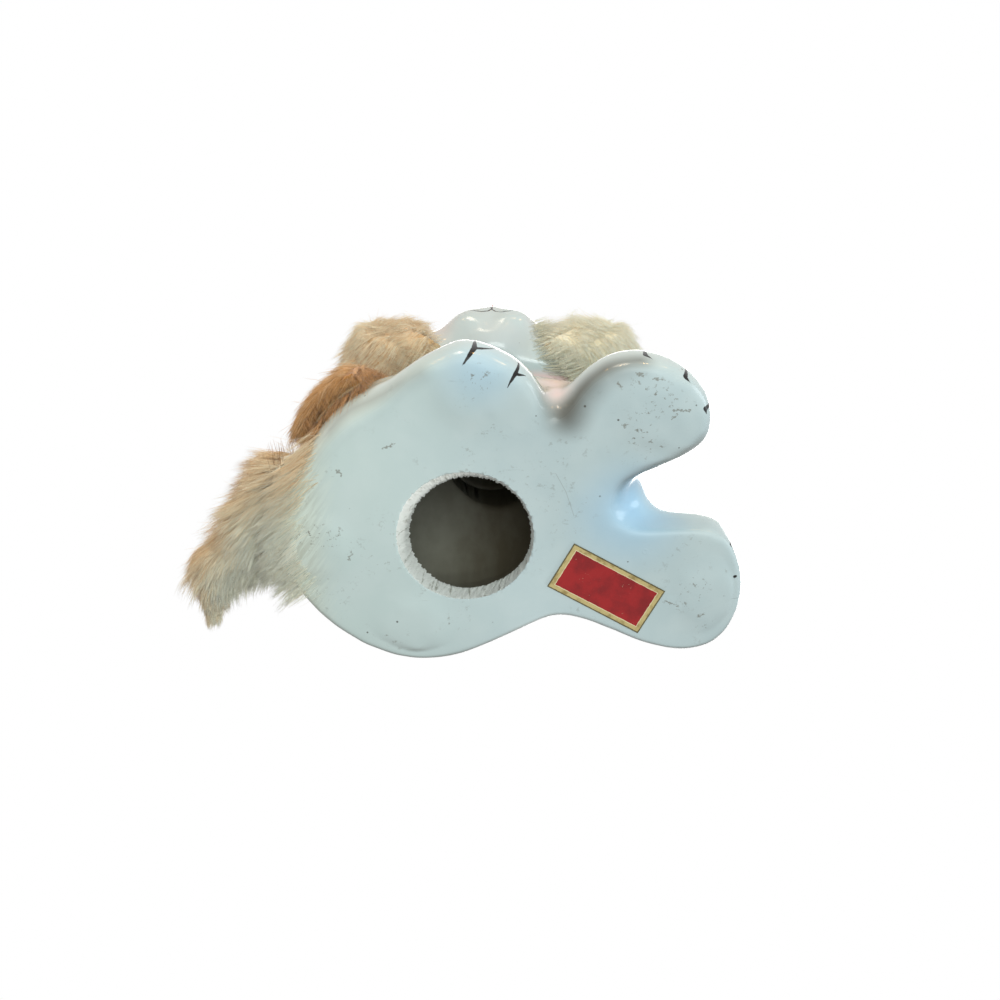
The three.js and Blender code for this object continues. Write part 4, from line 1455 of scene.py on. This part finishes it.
def scatter(piece, count, chance, wanted):
    """Roots all over the faces of a piece that are wanted, by their middles and normals."""
    mesh = piece.data
    mesh.calc_loop_triangles()
    corners = np.empty(3 * len(mesh.loop_triangles), dtype=np.int32)
    mesh.loop_triangles.foreach_get("vertices", corners)
    sides = points_of(mesh)[corners.reshape(-1, 3)]
    square = np.cross(sides[:, 1] - sides[:, 0], sides[:, 2] - sides[:, 0])
    area = np.linalg.norm(square, axis=1) * wanted(sides.mean(axis=1), unit(square))
    chosen = chance.choice(len(sides), count, p=area / area.sum())
    share = np.sort(chance.random((count, 2)), axis=1)
    weights = np.column_stack([share[:, 0], share[:, 1] - share[:, 0], 1 - share[:, 1]])
    return (sides[chosen] * weights[:, :, None]).sum(axis=1)


def combed(roots, flow, outward, length, lift, stray):
    """Paths that leave their roots along the flow, lifted off the strip, and bend over with it."""
    path = [roots]
    for joint in range(JOINTS):
        place = path[-1]
        out = outward(place)
        run = unit(flow(place))
        run = run - out * np.minimum((run * out).sum(axis=1, keepdims=True), 0)
        rise = lift * (1 - LIFT_LOSS * joint / JOINTS)
        heading = unit(run + out * rise + stray)
        path.append(place + heading * (length / JOINTS)[:, None])
    return np.stack(path, axis=1)


def nearest(points, guides):
    """Number of the guide nearest to each point, found block by block to save memory."""
    best = np.empty(len(points), dtype=np.int64)
    for start in range(0, len(points), BLOCK):
        block = points[start:start + BLOCK]
        best[start:start + BLOCK] = ((block[:, None] - guides[None]) ** 2).sum(axis=2).argmin(axis=1)
    return best


# %% Hair meshes
HAIR_ASKEW = np.array([0.31, 0.83, 0.46])
TIP_TAPER = 0.7
TAPER_CURVE = 1.5
TONES = 16
TONE_LIMIT = 0.999
MAP_EDGE = 0.1
MAP_STEP = 0.4
MAP_TIP = 0.5
MAP_START = 0.02
MAP_RUN = 0.96


def hair_faces():
    """Corners of one hair's faces: a cap at the root, three bands of quads and three triangles at the tip."""
    faces = [(2, 1, 0)]
    for joint in range(JOINTS - 1):
        for k in range(3):
            a = 3 * joint + k
            b = 3 * joint + (k + 1) % 3
            faces.append((a, b, b + 3, a + 3))
    top = 3 * (JOINTS - 1)
    return faces + [(top + k, top + (k + 1) % 3, top + 3) for k in range(3)]


def hair_points(paths, radius):
    """Rings of three points at the joints of each path, and its tip."""
    along = unit(np.diff(paths, axis=1, append=2 * paths[:, -1:] - paths[:, -2:-1]))
    side = unit(np.cross(along, HAIR_ASKEW))
    other = np.cross(along, side)
    width = radius[:, None] * (1 - TIP_TAPER * np.linspace(0, 1, JOINTS + 1)[None] ** TAPER_CURVE)
    angle = np.arange(3) * math.tau / 3
    ring = side[:, :, None] * np.cos(angle)[:, None] + other[:, :, None] * np.sin(angle)[:, None]
    rings = paths[:, :-1, None] + ring[:, :-1] * width[:, :-1, None, None]
    return np.concatenate([rings.reshape(len(paths), -1, 3), paths[:, -1:]], axis=1)


def hair_map(loops, tip, tone):
    """Tone across and run from root to tip upwards, for each corner of each hair."""
    column = np.floor(np.clip(tone, 0, TONE_LIMIT) * TONES)
    across = np.where(loops == tip, MAP_TIP, (loops % 3) * MAP_STEP + MAP_EDGE)
    run = np.linspace(0, 1, JOINTS + 1)
    upward_run = np.where(loops == tip, 1.0, run[np.minimum(loops // 3, JOINTS)])
    u = (column[:, None] + across[None]) / TONES
    v = np.broadcast_to(MAP_START + MAP_RUN * upward_run[None], u.shape)
    return np.stack([u, v], axis=2)


def hair_mesh(name, paths, radius, tone):
    """One closed, three-sided taper for each path, all in one mesh with a map of tone and run."""
    count = len(paths)
    points = hair_points(paths, radius)
    per_hair = points.shape[1]
    faces = hair_faces()
    loops = np.array([index for face in faces for index in face])
    sizes = np.array([len(face) for face in faces])
    corners = (loops[None] + per_hair * np.arange(count)[:, None]).ravel()
    starts = np.concatenate([[0], np.cumsum(np.tile(sizes, count))[:-1]])

    mesh = bpy.data.meshes.new(name)
    mesh.vertices.add(count * per_hair)
    mesh.vertices.foreach_set("co", points.ravel())
    mesh.loops.add(len(corners))
    mesh.loops.foreach_set("vertex_index", corners.astype(np.int32))
    mesh.polygons.add(len(starts))
    mesh.polygons.foreach_set("loop_start", starts.astype(np.int32))
    mesh.update(calc_edges=True)
    mesh.validate()

    layer = mesh.uv_layers.new(name="OFBake")
    layer.data.foreach_set("uv", hair_map(loops, per_hair - 1, tone).ravel())
    piece = bpy.data.objects.new(name, mesh)
    bpy.context.scene.collection.objects.link(piece)
    shade_smooth(piece)
    return piece


# %% Hair finish
TAN_TONES = [
    (0.0, srgb(160, 110, 54)),
    (0.25, srgb(214, 158, 94)),
    (0.5, srgb(236, 202, 156)),
    (0.75, srgb(248, 236, 206)),
    (1.0, srgb(242, 246, 232)),
]
ROOT_BROWN = srgb(128, 88, 46)
ROOT_RUN = (0.0, 0.5, 0.6, 0.0)
PALE_ROOTS = (0.3, 0.9, 1.0, 0.12)
TIP_CREAM = srgb(246, 234, 208)
TIP_RUN = (0.6, 1.0, 0.0, 0.22)
HAIR_ROUGHNESS = 0.5
HAIR_SPECULAR = 0.25
HAIR_SHEEN = 0.25


def hair_finish(material):
    shader = open_material(material)
    tone, run, _ = parts(source(shader, "UVMap", "UV", uv_map="OFBake"))
    tan = add("ValToRGB", {"Fac": tone}, "Color")
    stops = tan.socket.node.color_ramp.elements
    while len(stops) < len(TAN_TONES):
        stops.new(0.5)
    for stop, (position, colour) in zip(stops, TAN_TONES):
        stop.position = position
        stop.color = colour
    colour = tint(fade(run, *ROOT_RUN) * fade(tone, *PALE_ROOTS), tan, ROOT_BROWN)
    colour = tint(fade(run, *TIP_RUN), colour, TIP_CREAM)
    finish(shader, colour, HAIR_ROUGHNESS, Specular_IOR_Level=HAIR_SPECULAR, Sheen_Weight=HAIR_SHEEN)


hair_colour = bpy.data.materials.new("tan hair")
hair_finish(hair_colour)
print("hair finish:", len(hair_colour.node_tree.nodes), "nodes")

# %% Comb a strip
HAIRS_PER_PIECE = 8500
HAIR_RADIUS = 0.038 * MM
GUARD_RADIUS = 0.05 * MM
GUARD_TONE = 0.1
OWN_WIDTH = (0.7, 1.15)
TONE_SPREAD = 0.1
FLOOR_CLEAR = 0.1 * MM
ROOT_DEPTH = 0.4 * MM
OVER_THE_EDGE = 0.55
GUIDE_LENGTH = (0.8, 1.2)
GUIDE_STRAY = 0.12
OWN_LENGTH = (0.6, 1.12)
OWN_LIFT = (0.6, 1.25)
OWN_STRAY = 0.07
SHARED_STRAY = 0.6
WILD_SHARE = 0.015
WILD_STRAY = 0.35
WILD_LIFT = 0.3
TUFT_PULL = 0.5
OWN_PULL = (0.3, 1)
PULL_CURVE = 1.4
GATHER = 0.8


def grow(name, ground, seed, count, guides, flow, outward, lift, length_of, tone_of, wanted):
    """Hairs of one strip, in as many pieces as their number needs. Hairs that leave its edge are shorter."""
    chance = np.random.default_rng(seed)
    guide_roots = scatter(ground, guides, chance, wanted)
    leaving = np.clip((unit(flow(guide_roots)) * outward(guide_roots)).sum(axis=1), 0, 1)
    guide_length = length_of(guide_roots) * chance.uniform(*GUIDE_LENGTH, guides)
    guide_length = guide_length * (1 - OVER_THE_EDGE * leaving)
    guide_stray = chance.normal(0, GUIDE_STRAY, (guides, 3))
    guide_paths = combed(guide_roots, flow, outward, guide_length, lift, guide_stray)
    roots = scatter(ground, count, chance, wanted)
    home = nearest(roots, guide_roots)
    own_length = guide_length[home] * chance.uniform(*OWN_LENGTH, count)
    wild = (chance.random(count) < WILD_SHARE)[:, None]
    stray = guide_stray[home] * SHARED_STRAY + chance.normal(0, OWN_STRAY, (count, 3))
    stray = stray + wild * chance.normal(0, WILD_STRAY, (count, 3))
    own_lift = lift * chance.uniform(*OWN_LIFT, (count, 1)) + wild * WILD_LIFT
    paths = combed(roots, flow, outward, own_length, own_lift, stray)
    share = np.linspace(0, 1, JOINTS + 1)[None, :, None]
    pull = TUFT_PULL * chance.uniform(*OWN_PULL, (count, 1, 1)) * share**PULL_CURVE * ~wild[:, :, None]
    offset = guide_paths[home] - guide_paths[home][:, :1]
    target = roots[:, None] + offset * (own_length / guide_length[home])[:, None, None]
    gather = (guide_roots[home] - roots)[:, None] * GATHER
    paths = paths + (target + gather - paths) * pull
    paths -= outward(roots)[:, None] * ROOT_DEPTH * (share == 0)
    paths[:, :, 2] = np.maximum(paths[:, :, 2], FLOOR_CLEAR)
    tone = tone_of(roots)
    width = np.where(tone < GUARD_TONE, GUARD_RADIUS, HAIR_RADIUS) * chance.uniform(*OWN_WIDTH, count)
    tone = tone + chance.normal(0, TONE_SPREAD, count)
    for part, start in enumerate(range(0, count, HAIRS_PER_PIECE)):
        rows = slice(start, start + HAIRS_PER_PIECE)
        hair = hair_mesh(f"{name}_{part + 1}", paths[rows], width[rows], tone[rows])
        hair.data.materials.append(hair_colour)
        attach(hair, "root")
        report(hair)


# %% Ways to steer the hair
FACING_LEAST = -0.1


def off_the_skin(piece):
    """A function that gives the face normals of a piece at the places of it nearest to given ones."""
    tree = skin_tree(piece)
    return lambda place: np.array([tree.find_nearest(spot)[1] for spot in place.tolist()])


def slope(normals, outward, middles):
    return (normals * outward(middles)).sum(axis=1)


def facing(outward):
    return lambda middles, normals: slope(normals, outward, middles) > FACING_LEAST


def even(value):
    return lambda roots: np.full(len(roots), value)


def straight(direction):
    return lambda place: np.broadcast_to(direction, place.shape)


# %% Cheek hair
SKULL = np.array(FACE)
SKULL[1] = middle(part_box("cheek_fur_left")).y
CHEEK_HAIRS = 11800
CHEEK_GUIDES = 900
CHEEK_LENGTH = 5 * MM
CHEEK_LIFT = 0.16
CHEEK_DEPTH = 12 * MM
LEVEL = np.array([1, 0, 1])
SIDEWARDS = 0.75
BACKWARDS = np.array([0, 0.75, -0.1])
CHEEKS = (("left", 11, 0.52, 0.2), ("right", 12, 0.88, 0.04))


def from_skull(place):
    return unit(place - SKULL)


def off_the_face(place):
    return unit((place - SKULL) * LEVEL) * SIDEWARDS + BACKWARDS


# Paler to the front and browner to the rear: partly the fur's own colour, partly painted shade where the body
# shades the ruff. The right cheek's paler tone is partly its own cream, partly painted light.
def cheek_tone_with_shade(pale, rise):
    return lambda roots: pale + rise * np.clip((SKULL[1] - roots[:, 1]) / CHEEK_DEPTH, -1, 1)


for side, seed, pale, rise in CHEEKS:
    coat = undercoats[f"cheek_fur_{side}"]
    grow(
        f"cheek_hair_{side}", coat, seed, CHEEK_HAIRS, CHEEK_GUIDES, flow=off_the_face,
        outward=off_the_skin(coat), lift=CHEEK_LIFT, length_of=even(CHEEK_LENGTH),
        tone_of=cheek_tone_with_shade(pale, rise), wanted=facing(from_skull))

# %% Back hair
BACK_SEED = 13
BACK_MIDDLE = rows_from_hole((-4, -1, 10))
BACK_OVAL = np.array([1, 1, 0.8])
BACK_HAIRS = 12000
BACK_GUIDES = 700
BACK_LENGTH = 5.5 * MM
BACK_LIFT = 0.16
BACK_TONE = 0.24
BACK_PALER = 0.25
BACK_LOW = 10 * MM
BACK_RISE = 30 * MM


def from_back(place):
    return unit((place - BACK_MIDDLE) * BACK_OVAL)


# Browner low down and paler higher up: partly the fur's own colour, partly painted shade near the body.
def back_tone_with_shade(roots):
    return BACK_TONE + BACK_PALER * np.clip((roots[:, 2] - BACK_LOW) / BACK_RISE, 0, 1)


grow(
    "back_hair", undercoats["back_fur"], BACK_SEED, BACK_HAIRS, BACK_GUIDES,
    flow=straight(BACK_COMB), outward=off_the_skin(undercoats["back_fur"]), lift=BACK_LIFT,
    length_of=even(BACK_LENGTH), tone_of=back_tone_with_shade, wanted=facing(from_back))

# %% Tail hair
TAIL_SEED = 14
TAIL_HAIRS = 18000
TAIL_GUIDES = 800
TAIL_LENGTH = 7 * MM
TAIL_LIFT = 0.2
TAIL_COURSE = 0.5
TIP_REACH = 12 * MM
TIP_SHORTEST = 0.35
WARM_REACH = 12 * MM
WARM_SPOT = TAIL_LINE[4]
TAIL_TONE = 0.88
TAIL_HEIGHT = 10 * MM
TAIL_TOP_DARKER = 0.3
FRONT_DARKER = 0.32
WARM_DARKER = 0.3
TAIL_TONES = (0.25, 0.98)
REAR_LEAST = -0.5


def from_tail(place):
    return unit(place - tail_spot(place)[0])


def along_tail(place):
    return tail_spot(place)[1] * TAIL_COURSE + TAIL_COMB


def shorter_at_the_tip(roots):
    to_tip = np.linalg.norm(roots - TAIL_LINE[-1], axis=1)
    return TAIL_LENGTH * np.clip(to_tip / TIP_REACH, TIP_SHORTEST, 1)


def tail_tone(roots):
    spot, _, reach = tail_spot(roots)
    height = (roots - spot)[:, 2] / TAIL_HEIGHT
    front = np.clip(-(roots - spot)[:, :2].min(axis=1) / reach, REAR_LEAST, 1)
    warmth = np.clip(1 - np.linalg.norm(roots - WARM_SPOT, axis=1) / WARM_REACH, 0, 1)
    tone = TAIL_TONE - TAIL_TOP_DARKER * height - (FRONT_DARKER + WARM_DARKER * warmth) * front
    return np.clip(tone, *TAIL_TONES)


grow(
    "tail_hair", undercoats["tail_fur"], TAIL_SEED, TAIL_HAIRS, TAIL_GUIDES, flow=along_tail,
    outward=from_tail, lift=TAIL_LIFT, length_of=shorter_at_the_tip, tone_of=tail_tone,
    wanted=facing(from_tail))

# %% [markdown]
# ## Fringes
# The cut edge of a hide would show as a pale line, so the outermost hairs of its strip lie over it. Their
# roots are on the side walls of the undercoat, and they run down those walls to the glaze. Beside the
# muzzle some hair of the right cheek lies on the clay itself. On the flank more hairs leave the hide and
# reach down to the edge of the sole.

# %% Hair over the cut edges
WALL_SHARE = 0.6
LEAVE_WALL = 0.65
FRINGE_LIFT = 0.1
HAIRS_PER_GUIDE = 3
TOWARDS_CHIN = np.array([0, -0.3, -0.4])
DOWN_THE_FLANK = np.array([-0.1, 0.1, -0.8])


def fringe(name, ground, seed, count, brushed, outward, length, tone):
    off_the_wall = off_the_skin(ground)

    def over_the_edge(place):
        return off_the_wall(place) * LEAVE_WALL - outward(place) + brushed

    def on_the_walls(middles, normals):
        return np.abs(slope(normals, outward, middles)) < WALL_SHARE

    grow(
        name, ground, seed, count, count // HAIRS_PER_GUIDE, flow=over_the_edge, outward=off_the_wall,
        lift=FRINGE_LIFT, length_of=even(length), tone_of=even(tone), wanted=on_the_walls)


fringe(
    "cheek_fringe_left", undercoats["cheek_fur_left"], seed=21, count=4500,
    brushed=TOWARDS_CHIN, outward=from_skull, length=6 * MM, tone=0.62)
fringe(
    "cheek_fringe_right", undercoats["cheek_fur_right"], seed=23, count=5000,
    brushed=TOWARDS_CHIN, outward=from_skull, length=7 * MM, tone=0.92)
fringe(
    "back_fringe", undercoats["back_fur"], seed=25, count=4500, brushed=DOWN_THE_FLANK,
    outward=from_back, length=7 * MM, tone=0.22)

# %% Hair beside the muzzle
MUZZLE_PIXELS = ((547, 336), (551, 346), (555, 356))
MUZZLE_REACH = 5 * MM
MUZZLE_FLOW = np.array([1, -0.1, 0.1])
muzzle_side = np.array([face_skin.ray_cast(eye, sight_line(pixel))[0] for pixel in MUZZLE_PIXELS])


def beside_the_muzzle(middles, _):
    away = np.linalg.norm(middles[:, None] - muzzle_side[None], axis=2).min(axis=1)
    return np.clip(1 - away / MUZZLE_REACH, 0, 1)


grow(
    "muzzle_hair_right", head, seed=27, count=1800, guides=600, flow=straight(MUZZLE_FLOW),
    outward=off_the_skin(head), lift=0.5, length_of=even(6.5 * MM), tone_of=even(0.93),
    wanted=beside_the_muzzle)

# %% Hair down the flank
LEAVE_HIDE = 0.3
FLANK_LENGTH = 9 * MM
FLANK_RUN = 16 * MM
FLANK_SHORTEST = 0.3
FLANK_STEEPEST = 0.2


def down_the_flank(place):
    return off_the_hide(place) * LEAVE_HIDE + DOWN_THE_FLANK


def shorter_at_the_rear(roots):
    return FLANK_LENGTH * np.clip(1 - (roots[:, 1] - HOLE.y) / FLANK_RUN, FLANK_SHORTEST, 1)


def lower_edge(middles, normals):
    square = np.abs(slope(normals, from_back, middles))
    return (square < WALL_SHARE) & (normals[:, 2] < FLANK_STEEPEST)


flank = merged_copy("back_hide", "flank_hair_ground")
off_the_hide = off_the_skin(flank)
grow(
    "flank_hair", flank, seed=26, count=3000, guides=700, flow=down_the_flank, outward=from_back,
    lift=-0.1, length_of=shorter_at_the_rear, tone_of=even(0.16), wanted=lower_edge)
bpy.data.objects.remove(flank)

# %% [markdown]
# ## Where the tail's fur meets the base
# At the left end of the base no edge of the clay is seen: pale hair of the tail was brushed over it while
# the glue was wet. These hairs start on the clay round the end of the base and run out along the tail.

# %% Hair over the end of the base
BASE_END = HOLE.x - 27 * MM
BASE_TOP = 12 * MM
BASE_REAR = HOLE.y + 13 * MM
BASE_FADE = 8 * MM
REAR_TOP = 4 * MM
LEFTWARD_LEAST = -0.02
THINNEST = 0.05
BASE_MIDDLE = np.array([-10, 2, 12]) * MM
TOWARDS_THE_TAIL = np.array([-0.7, 0.65, 0])
BASE_TONE = 0.98
BASE_DARKER = 0.35
DARK_START = HOLE.y - 2 * MM
DARK_RUN = 14 * MM


def round_the_end(middles, normals):
    top = np.where(middles[:, 1] > HOLE.y, REAR_TOP, BASE_TOP)
    near_end = (middles[:, 0] < BASE_END) & (middles[:, 2] < top) & (middles[:, 1] < BASE_REAR)
    thickness = np.clip((BASE_END - middles[:, 0]) / BASE_FADE, THINNEST, 1)
    return near_end * (normals[:, 0] < LEFTWARD_LEAST) * thickness


def out_of_the_base(place):
    return unit(place - np.array(HOLE) - BASE_MIDDLE)


def base_tone(roots):
    return BASE_TONE - BASE_DARKER * np.clip((DARK_START - roots[:, 1]) / DARK_RUN, 0, 1)


grow(
    "base_hair", body, seed=15, count=4500, guides=400, flow=straight(TOWARDS_THE_TAIL),
    outward=out_of_the_base, lift=0.06, length_of=even(11 * MM), tone_of=base_tone, wanted=round_the_end)

# %% [markdown]
# ## Loose wisps
# Where the tail leaves the body a few dark guard hairs stand up.

# %% Wisps
WISP_PLACE = TAIL_LINE[1] + np.array([-2, -10, 0]) * MM
WISP_SPREAD = 5 * MM
FORWARDS = np.array([-0.15, -1, 0.1])


def at_the_wisps(middles, _):
    return np.linalg.norm(middles - WISP_PLACE, axis=1) < WISP_SPREAD


grow(
    "wisps", undercoats["tail_fur"], seed=16, count=60, guides=30, flow=straight(FORWARDS),
    outward=from_tail, lift=0.6, length_of=even(9 * MM), tone_of=even(0.03), wanted=at_the_wisps)

# %% [markdown]
# ## Floor, light and background
# The floor is pale and shows from above only: the photograph looks at the base, through the place of the
# floor. So the back of the floor lets light and sight through. A warm lamp in front of the face, a cooler
# one at the paws, large soft ones below and above and a row of small orange ones give the glints and the
# even base of the photograph. A narrow lamp lights the cut rim of the drain hole. The background is plain
# white.

# %% Floor
FLOOR_SIZE = 6.0
FLOOR_LEVEL = -0.02 * MM
FLOOR_PALE = srgb(244, 244, 243)
FLOOR_GREY = srgb(240, 240, 240)
FLOOR_SCALE = 9.0
FLOOR_ROUGHNESS = 0.8
floor = added(bpy.ops.mesh.primitive_plane_add, "floor", size=FLOOR_SIZE, location=(0, 0, FLOOR_LEVEL))
settle()
floor_paint = bpy.data.materials.new("floor paint")
shader = open_material(floor_paint)
finish(shader, tint(noise(place_on(shader), FLOOR_SCALE), FLOOR_PALE, FLOOR_GREY), FLOOR_ROUGHNESS)
behind = source(shader, "NewGeometry", "Backfacing")
clear = source(shader, "BsdfTransparent", "BSDF")
sides = add("MixShader", {0: behind, 1: Value(shader.outputs["BSDF"]), 2: clear})
plug(floor_paint.node_tree.nodes["Material Output"].inputs["Surface"], sides)
floor.data.materials.append(floor_paint)
floor.visible_shadow = False
floor.visible_diffuse = False
floor.visible_glossy = False
floor.visible_transmission = False
print("floor of", FLOOR_SIZE, "m")

# %% Lamps
LAMP_AIM = Vector((0, 0, 25 * MM))
GLINTS_ACROSS = (-0.45, -0.15, 0.15, 0.45)


def aimed(lamp, place, aim):
    lamp.rotation_euler = (Vector(place) - aim).to_track_quat("Z", "Y").to_euler()


def soft_lamp(name, place, size, power, colour):
    lamp = added(bpy.ops.object.light_add, name, type="AREA", location=place)
    lamp.data.shape = "DISK"
    lamp.data.size = size
    lamp.data.energy = power
    lamp.data.color = colour
    aimed(lamp, place, LAMP_AIM)


soft_lamp("face_lamp", place=(-0.2, -0.8, 0.25), size=0.3, power=1.8, colour=(1.0, 0.88, 0.72))
soft_lamp("paw_lamp", place=(0.8, -0.2, 0.05), size=0.45, power=2.0, colour=(0.82, 0.92, 1.0))
soft_lamp("below_lamp", place=(0.1, -0.5, -0.75), size=0.6, power=5.4, colour=(0.93, 1.0, 0.99))
soft_lamp("top_lamp", place=(0.2, 0.3, 0.9), size=0.8, power=6.0, colour=(1.0, 0.98, 0.95))
for number, across in enumerate(GLINTS_ACROSS):
    soft_lamp(f"glint_lamp_{number}", (across, -0.7, 0.22), size=0.04, power=0.3, colour=(1.0, 0.58, 0.22))

# %% Lamp at the cut rim
RIM_SIDE = from_hole(-9, -9, 1)
RIM_LAMP_PLACE = HOLE + Vector((0.21, 0.21, -0.05))
RIM_LAMP_POWER = 2.0
RIM_LAMP_CONE = math.radians(7)
RIM_LAMP_SIZE = 0.01
rim_lamp = added(bpy.ops.object.light_add, "rim_lamp", type="SPOT", location=RIM_LAMP_PLACE)
rim_lamp.data.energy = RIM_LAMP_POWER
rim_lamp.data.spot_size = RIM_LAMP_CONE
rim_lamp.data.spot_blend = 1.0
rim_lamp.data.shadow_soft_size = RIM_LAMP_SIZE
aimed(rim_lamp, RIM_LAMP_PLACE, RIM_SIDE)

# %% White background
AMBIENT = 0.36
WHITE = (1, 1, 1, 1)
world = bpy.data.worlds.new("studio")
bpy.context.scene.world = world
world.use_nodes = True
backdrop = world.node_tree.nodes["Background"]
rays = source(backdrop, "LightPath", "Is Camera Ray")
seen = calc("MAXIMUM", rays, Value(rays.socket.node.outputs["Is Glossy Ray"]))
seen = calc("MAXIMUM", seen, Value(rays.socket.node.outputs["Is Transmission Ray"]))
plug(backdrop.inputs["Color"], WHITE)
plug(backdrop.inputs["Strength"], fade(seen, 0.0, 1.0, AMBIENT, 1.0))
bpy.context.scene.view_settings.view_transform = "Standard"
print("ambient", AMBIENT)
